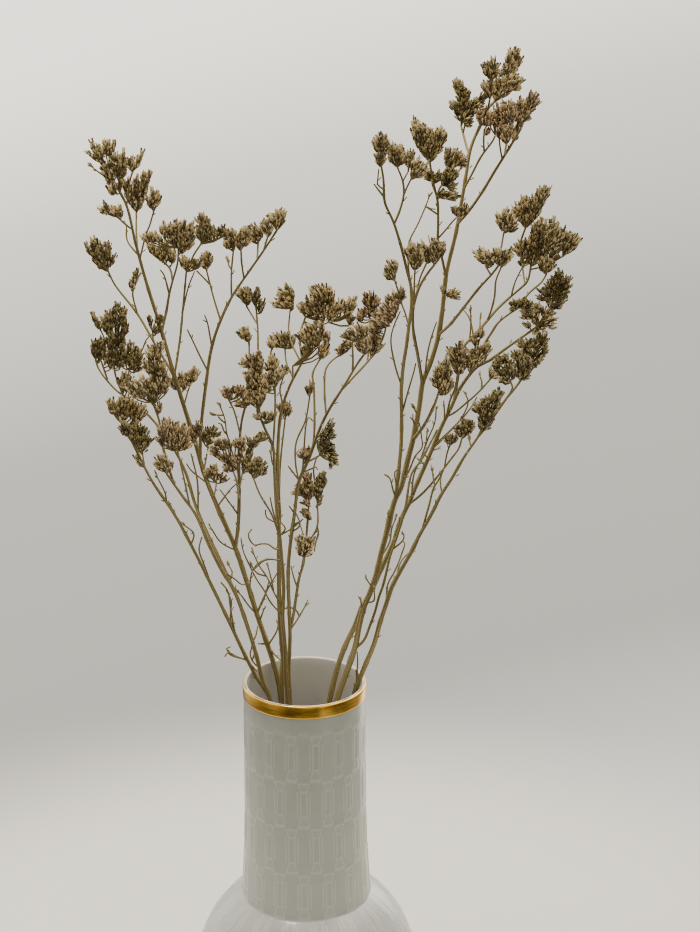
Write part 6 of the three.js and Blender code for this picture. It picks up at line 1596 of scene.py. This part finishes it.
def add_arm(growth, base, tip, comb, kind, salt):
    """An arm of a head: a thin stalk with florets on both sides and one at its end.

    The arm sags and rises again, so its underside is round, and its florets lean like the teeth
    of a comb.
    """
    reach = tip - base
    length = reach.length
    ahead = reach.normalized()
    upper = comb - ahead * comb.dot(ahead)
    leaning = min(1.0, upper.length * LEANING_GAIN)
    upper = upper.normalized() if upper.length > LEANING_LEAST else ahead.orthogonal().normalized()
    cross = ahead.cross(upper)
    curve = (base, base + reach * 0.5 - upper * length * ARM_SAG * leaning, tip)
    steps = max(2, round(length / STALK_STEP_MM))
    stalk = [bend(*curve, i / steps)[0] for i in range(steps + 1)]
    radii = [mix(STALK_RADIUS_MM, STALK_TIP_RADIUS_MM, i / steps) for i in range(steps + 1)]
    growth.add_chain(stalk, radii, STALK_FINENESS)

    covered = min(SET_SHARE_MOST, SET_LENGTH_MM / max(length, 1))
    count = max(1, round(length * covered / FLORET_SPACING_MM))
    spread = math.radians(mix(SPREAD_ALONG, SPREAD_ACROSS, leaning))
    for k in range(count):
        for side in (1, -1):
            pick = salt * 53 + k * 2 + (side + 1) // 2
            share = (k + PAIR_MIDDLE + PAIR_OFFSET * side + PAIR_WOBBLE * (draw(pick, 2) - 0.5)) / count
            spot, tangent = bend(*curve, min(1.0, 1 - covered * (1 - share)))
            turn = spread * side + SPREAD_WOBBLE * (draw(pick, 3) - 0.5)
            out = upper * math.cos(turn) + cross * math.sin(turn)
            lean = tangent * LEAN_AHEAD + out * mix(LEAN_OUT_BASE, LEAN_OUT_TIP, share)
            lean += comb * LEAN_UP * leaning
            add_floret(growth, spot, lean.normalized(), kind, pick)
    add_floret(growth, tip, bend(*curve, 1.0)[1], kind, salt * 53 + 49)


print("arm helpers ready")

# %% Heads
UP = Vector((0, 0, 1))
COMB_LIFT = 0.2
HEAD_DEPTH_SHARE = 0.5
BASE_DEPTH_SHARE = 0.35
NEAR_ARM_SHARE = 0.86
LEAST_ARM_SHARE = 0.25
NEAR_SALT = 7000
# A calyx at the tip stands out past the arm by about this much, so the arm ends that much sooner
TIP_OVERHANG_MM = 2.8
LINK_FROM_MM = 0.8
LINK_SAG = 0.08
LINK_RADII_MM = (0.42, 0.38, 0.38)


def add_head(growth, route, rows, kind, count):
    """A head: every arm that is drawn on the sheet stands for two, one nearer and one further.

    An arm that starts off its limb is linked to the nearest place on it.
    """
    depth = route[-1][2]
    directions = [Vector((u1 - u0, 0, v1 - v0)).normalized() for u0, v0, u1, v1 in rows]
    comb = (sum(directions, Vector()).normalized() + UP * COMB_LIFT).normalized()
    for j, (u0, v0, u1, v1) in enumerate(rows):
        root = place(*nearest_on(route, (u0, v0)))
        length = math.hypot(u1 - u0, v1 - v0)
        for side in (1, -1):
            salt = count * 40 + j + (0 if side == 1 else NEAR_SALT)
            gain = side * (0.5 + HEAD_DEPTH_SHARE * length * (0.3 + draw(salt, 5)))
            base = place(u0, v0, depth + gain * BASE_DEPTH_SHARE)
            end = place(u1, v1, depth + gain)
            if side == -1:
                end = base.lerp(end, NEAR_ARM_SHARE)
            end = base.lerp(end, max(LEAST_ARM_SHARE, 1 - TIP_OVERHANG_MM / max((end - base).length, 4)))
            if (base - root).length > LINK_FROM_MM:
                middle = root.lerp(base, 0.55) - comb * (base - root).length * LINK_SAG
                growth.add_chain([root, middle, base], list(LINK_RADII_MM), STALK_FINENESS)
            add_arm(growth, base, end, comb, kind, salt)


print("head helpers ready")

# %% Buds and scales
BUD_CALYCES = 4
BUD_SPACING_MM, BUD_RADIUS_MM = 0.7, 0.55
SCALE_EVERY_MM = 15
SCALE_LENGTH_MM, SCALE_RADIUS_MM = 2.6, 0.42
# Shares of brown, of dark and of shade
SCALE_TONES = (0.3, 0.6, 0.2)


def add_bud(growth, spot, direction, salt):
    """A few calyces at the end of a bare twig."""
    for k in range(BUD_CALYCES):
        pick = salt * 17 + k
        growth.add_calyx(spot - direction * BUD_SPACING_MM * k, direction + wild(pick, 1) * 0.3,
                         2.6 + draw(pick, 4), BUD_RADIUS_MM, 0.2, 0.6, 0.4 * draw(pick, 5))


def add_scales(growth, path, thick, salt):
    """Dry pointed scales pressed along a stem, where side buds did not grow."""
    run, next_scale, k = 0.0, SCALE_EVERY_MM * (0.3 + draw(salt, 50)), 0
    for a, b in zip(path, path[1:]):
        run += (b - a).length
        if run < next_scale:
            continue
        k += 1
        next_scale = run + SCALE_EVERY_MM * (0.5 + draw(salt, 50 + k))
        tangent = (b - a).normalized()
        turn = 2 * math.pi * draw(salt, 80 + k)
        out = Vector((math.cos(turn), math.sin(turn), 0))
        out = (out - tangent * out.dot(tangent)).normalized()
        facing = tangent + out * (0.35 + 0.4 * draw(salt, 110 + k))
        length = SCALE_LENGTH_MM * (0.7 + 0.6 * draw(salt, 140 + k))
        growth.add_calyx(a + out * thick * 0.3, facing, length, SCALE_RADIUS_MM, *SCALE_TONES)


print("scales about every", SCALE_EVERY_MM, "mm")

# %% Everything on one stem
FOOT_CLEARANCE = 0.3
# A slight bow of the stretch inside the vase
STEM_BOW = 1.2
# Below this depth under the rim a stem is out of sight: it keeps its thickness and has no scales
MOUTH_DEPTH = 12


def grow(cut):
    """Everything that grows on one cut stem."""
    growth, routes = Growth(), {}
    for count, (name, branch) in enumerate(cut["limbs"].items()):
        route = route_with_depths(branch, routes.get(branch["parent"]), cut["rim_depth"])
        routes[name] = route
        points = [place(*point) for point in route]
        is_stem = not branch["parent"]
        if is_stem:
            foot = Vector((*cut["foot"], INNER_FLOOR + FOOT_CLEARANCE))
            lean = (points[0] - foot).normalized()
            foot.z += branch["thick"] / 2 * math.hypot(lean.x, lean.y)
            halfway = foot.lerp(points[0], 0.5)
            halfway.y += STEM_BOW
            points = [foot, halfway, foot.lerp(points[0], 0.85), *points]
        path = smooth_path(points, RING_STEP_MM)
        visible = path if not is_stem else [p for p in path if p.z > VASE_HEIGHT - MOUTH_DEPTH]
        add_bar(growth, path, branch["thick"], branch["thin"], count, len(path) - len(visible))
        add_scales(growth, visible, branch["thick"], count + 100 * len(cut["limbs"]))
        kind = cut["tones"].get(name, cut["tones"].get("", "golden"))
        if branch["arms"]:
            add_head(growth, route, branch["arms"], kind, count)
        if branch.get("bud"):
            add_bud(growth, path[-1], (path[-1] - path[-2]).normalized(), count)
    return growth


print("sprays:", len(sprays), "limbs:", sum(len(cut["limbs"]) for cut in sprays))

# %% [markdown]
# ## The nine sprays
# Each cut stem becomes two pieces, its bark and its calyces, because they differ in material and in
# how they are made. Together they stand for the plain solid of that stem.

# %% Build the nine sprays
def point_mesh(name, points, chains, values, vectors):
    """A mesh of points and edges, with a named number or vector on each point."""
    mesh = bpy.data.meshes.new(name)
    mesh.from_pydata([p * MM for p in points], chains, [])
    for layer, numbers in values.items():
        mesh.attributes.new(layer, "FLOAT", "POINT").data.foreach_set("value", numbers)
    for layer, rows in vectors.items():
        flat = [number for row in rows for number in row]
        mesh.attributes.new(layer, "FLOAT_VECTOR", "POINT").data.foreach_set("vector", flat)
    return mesh


def stem_piece(name, growth):
    mesh = point_mesh(name, growth.points, growth.chains, {
        "radius_m": [r * MM for r in growth.radii], "fineness": growth.fineness, "streak_run": growth.runs,
    }, {})
    return run_tree(name, mesh, stem_tree, {"Sides": STEM_SIDES, "Material": dry_stem})


def calyx_piece(name, growth):
    mesh = point_mesh(name, growth.spots, [], dict(zip(("brown", "dark", "shade"), zip(*growth.tones))), {
        "facing": growth.facings, "size": [Vector(s) * MM for s in growth.sizes],
    })
    return run_tree(name, mesh, scatter_tree, {"Shape": calyx_shape, "Material": calyx_material})


total = 0
for cut in sprays:
    growth = grow(cut)
    name = cut["name"]
    stems = stem_piece(name + "_stems", growth)
    calyces = calyx_piece(name + "_calyces", growth)
    stems.data.shade_smooth()
    for piece in (stems, calyces):
        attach(piece, "root")
    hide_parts(name)
    faces = [len(piece.data.polygons) for piece in (stems, calyces)]
    total += sum(faces)
    print(name, "calyces:", len(growth.spots), "faces:", faces)
bpy.data.objects.remove(calyx_shape)
print("faces in all sprays:", total)

# %% [markdown]
# ## Finish

# %% Finish
print("scene built")
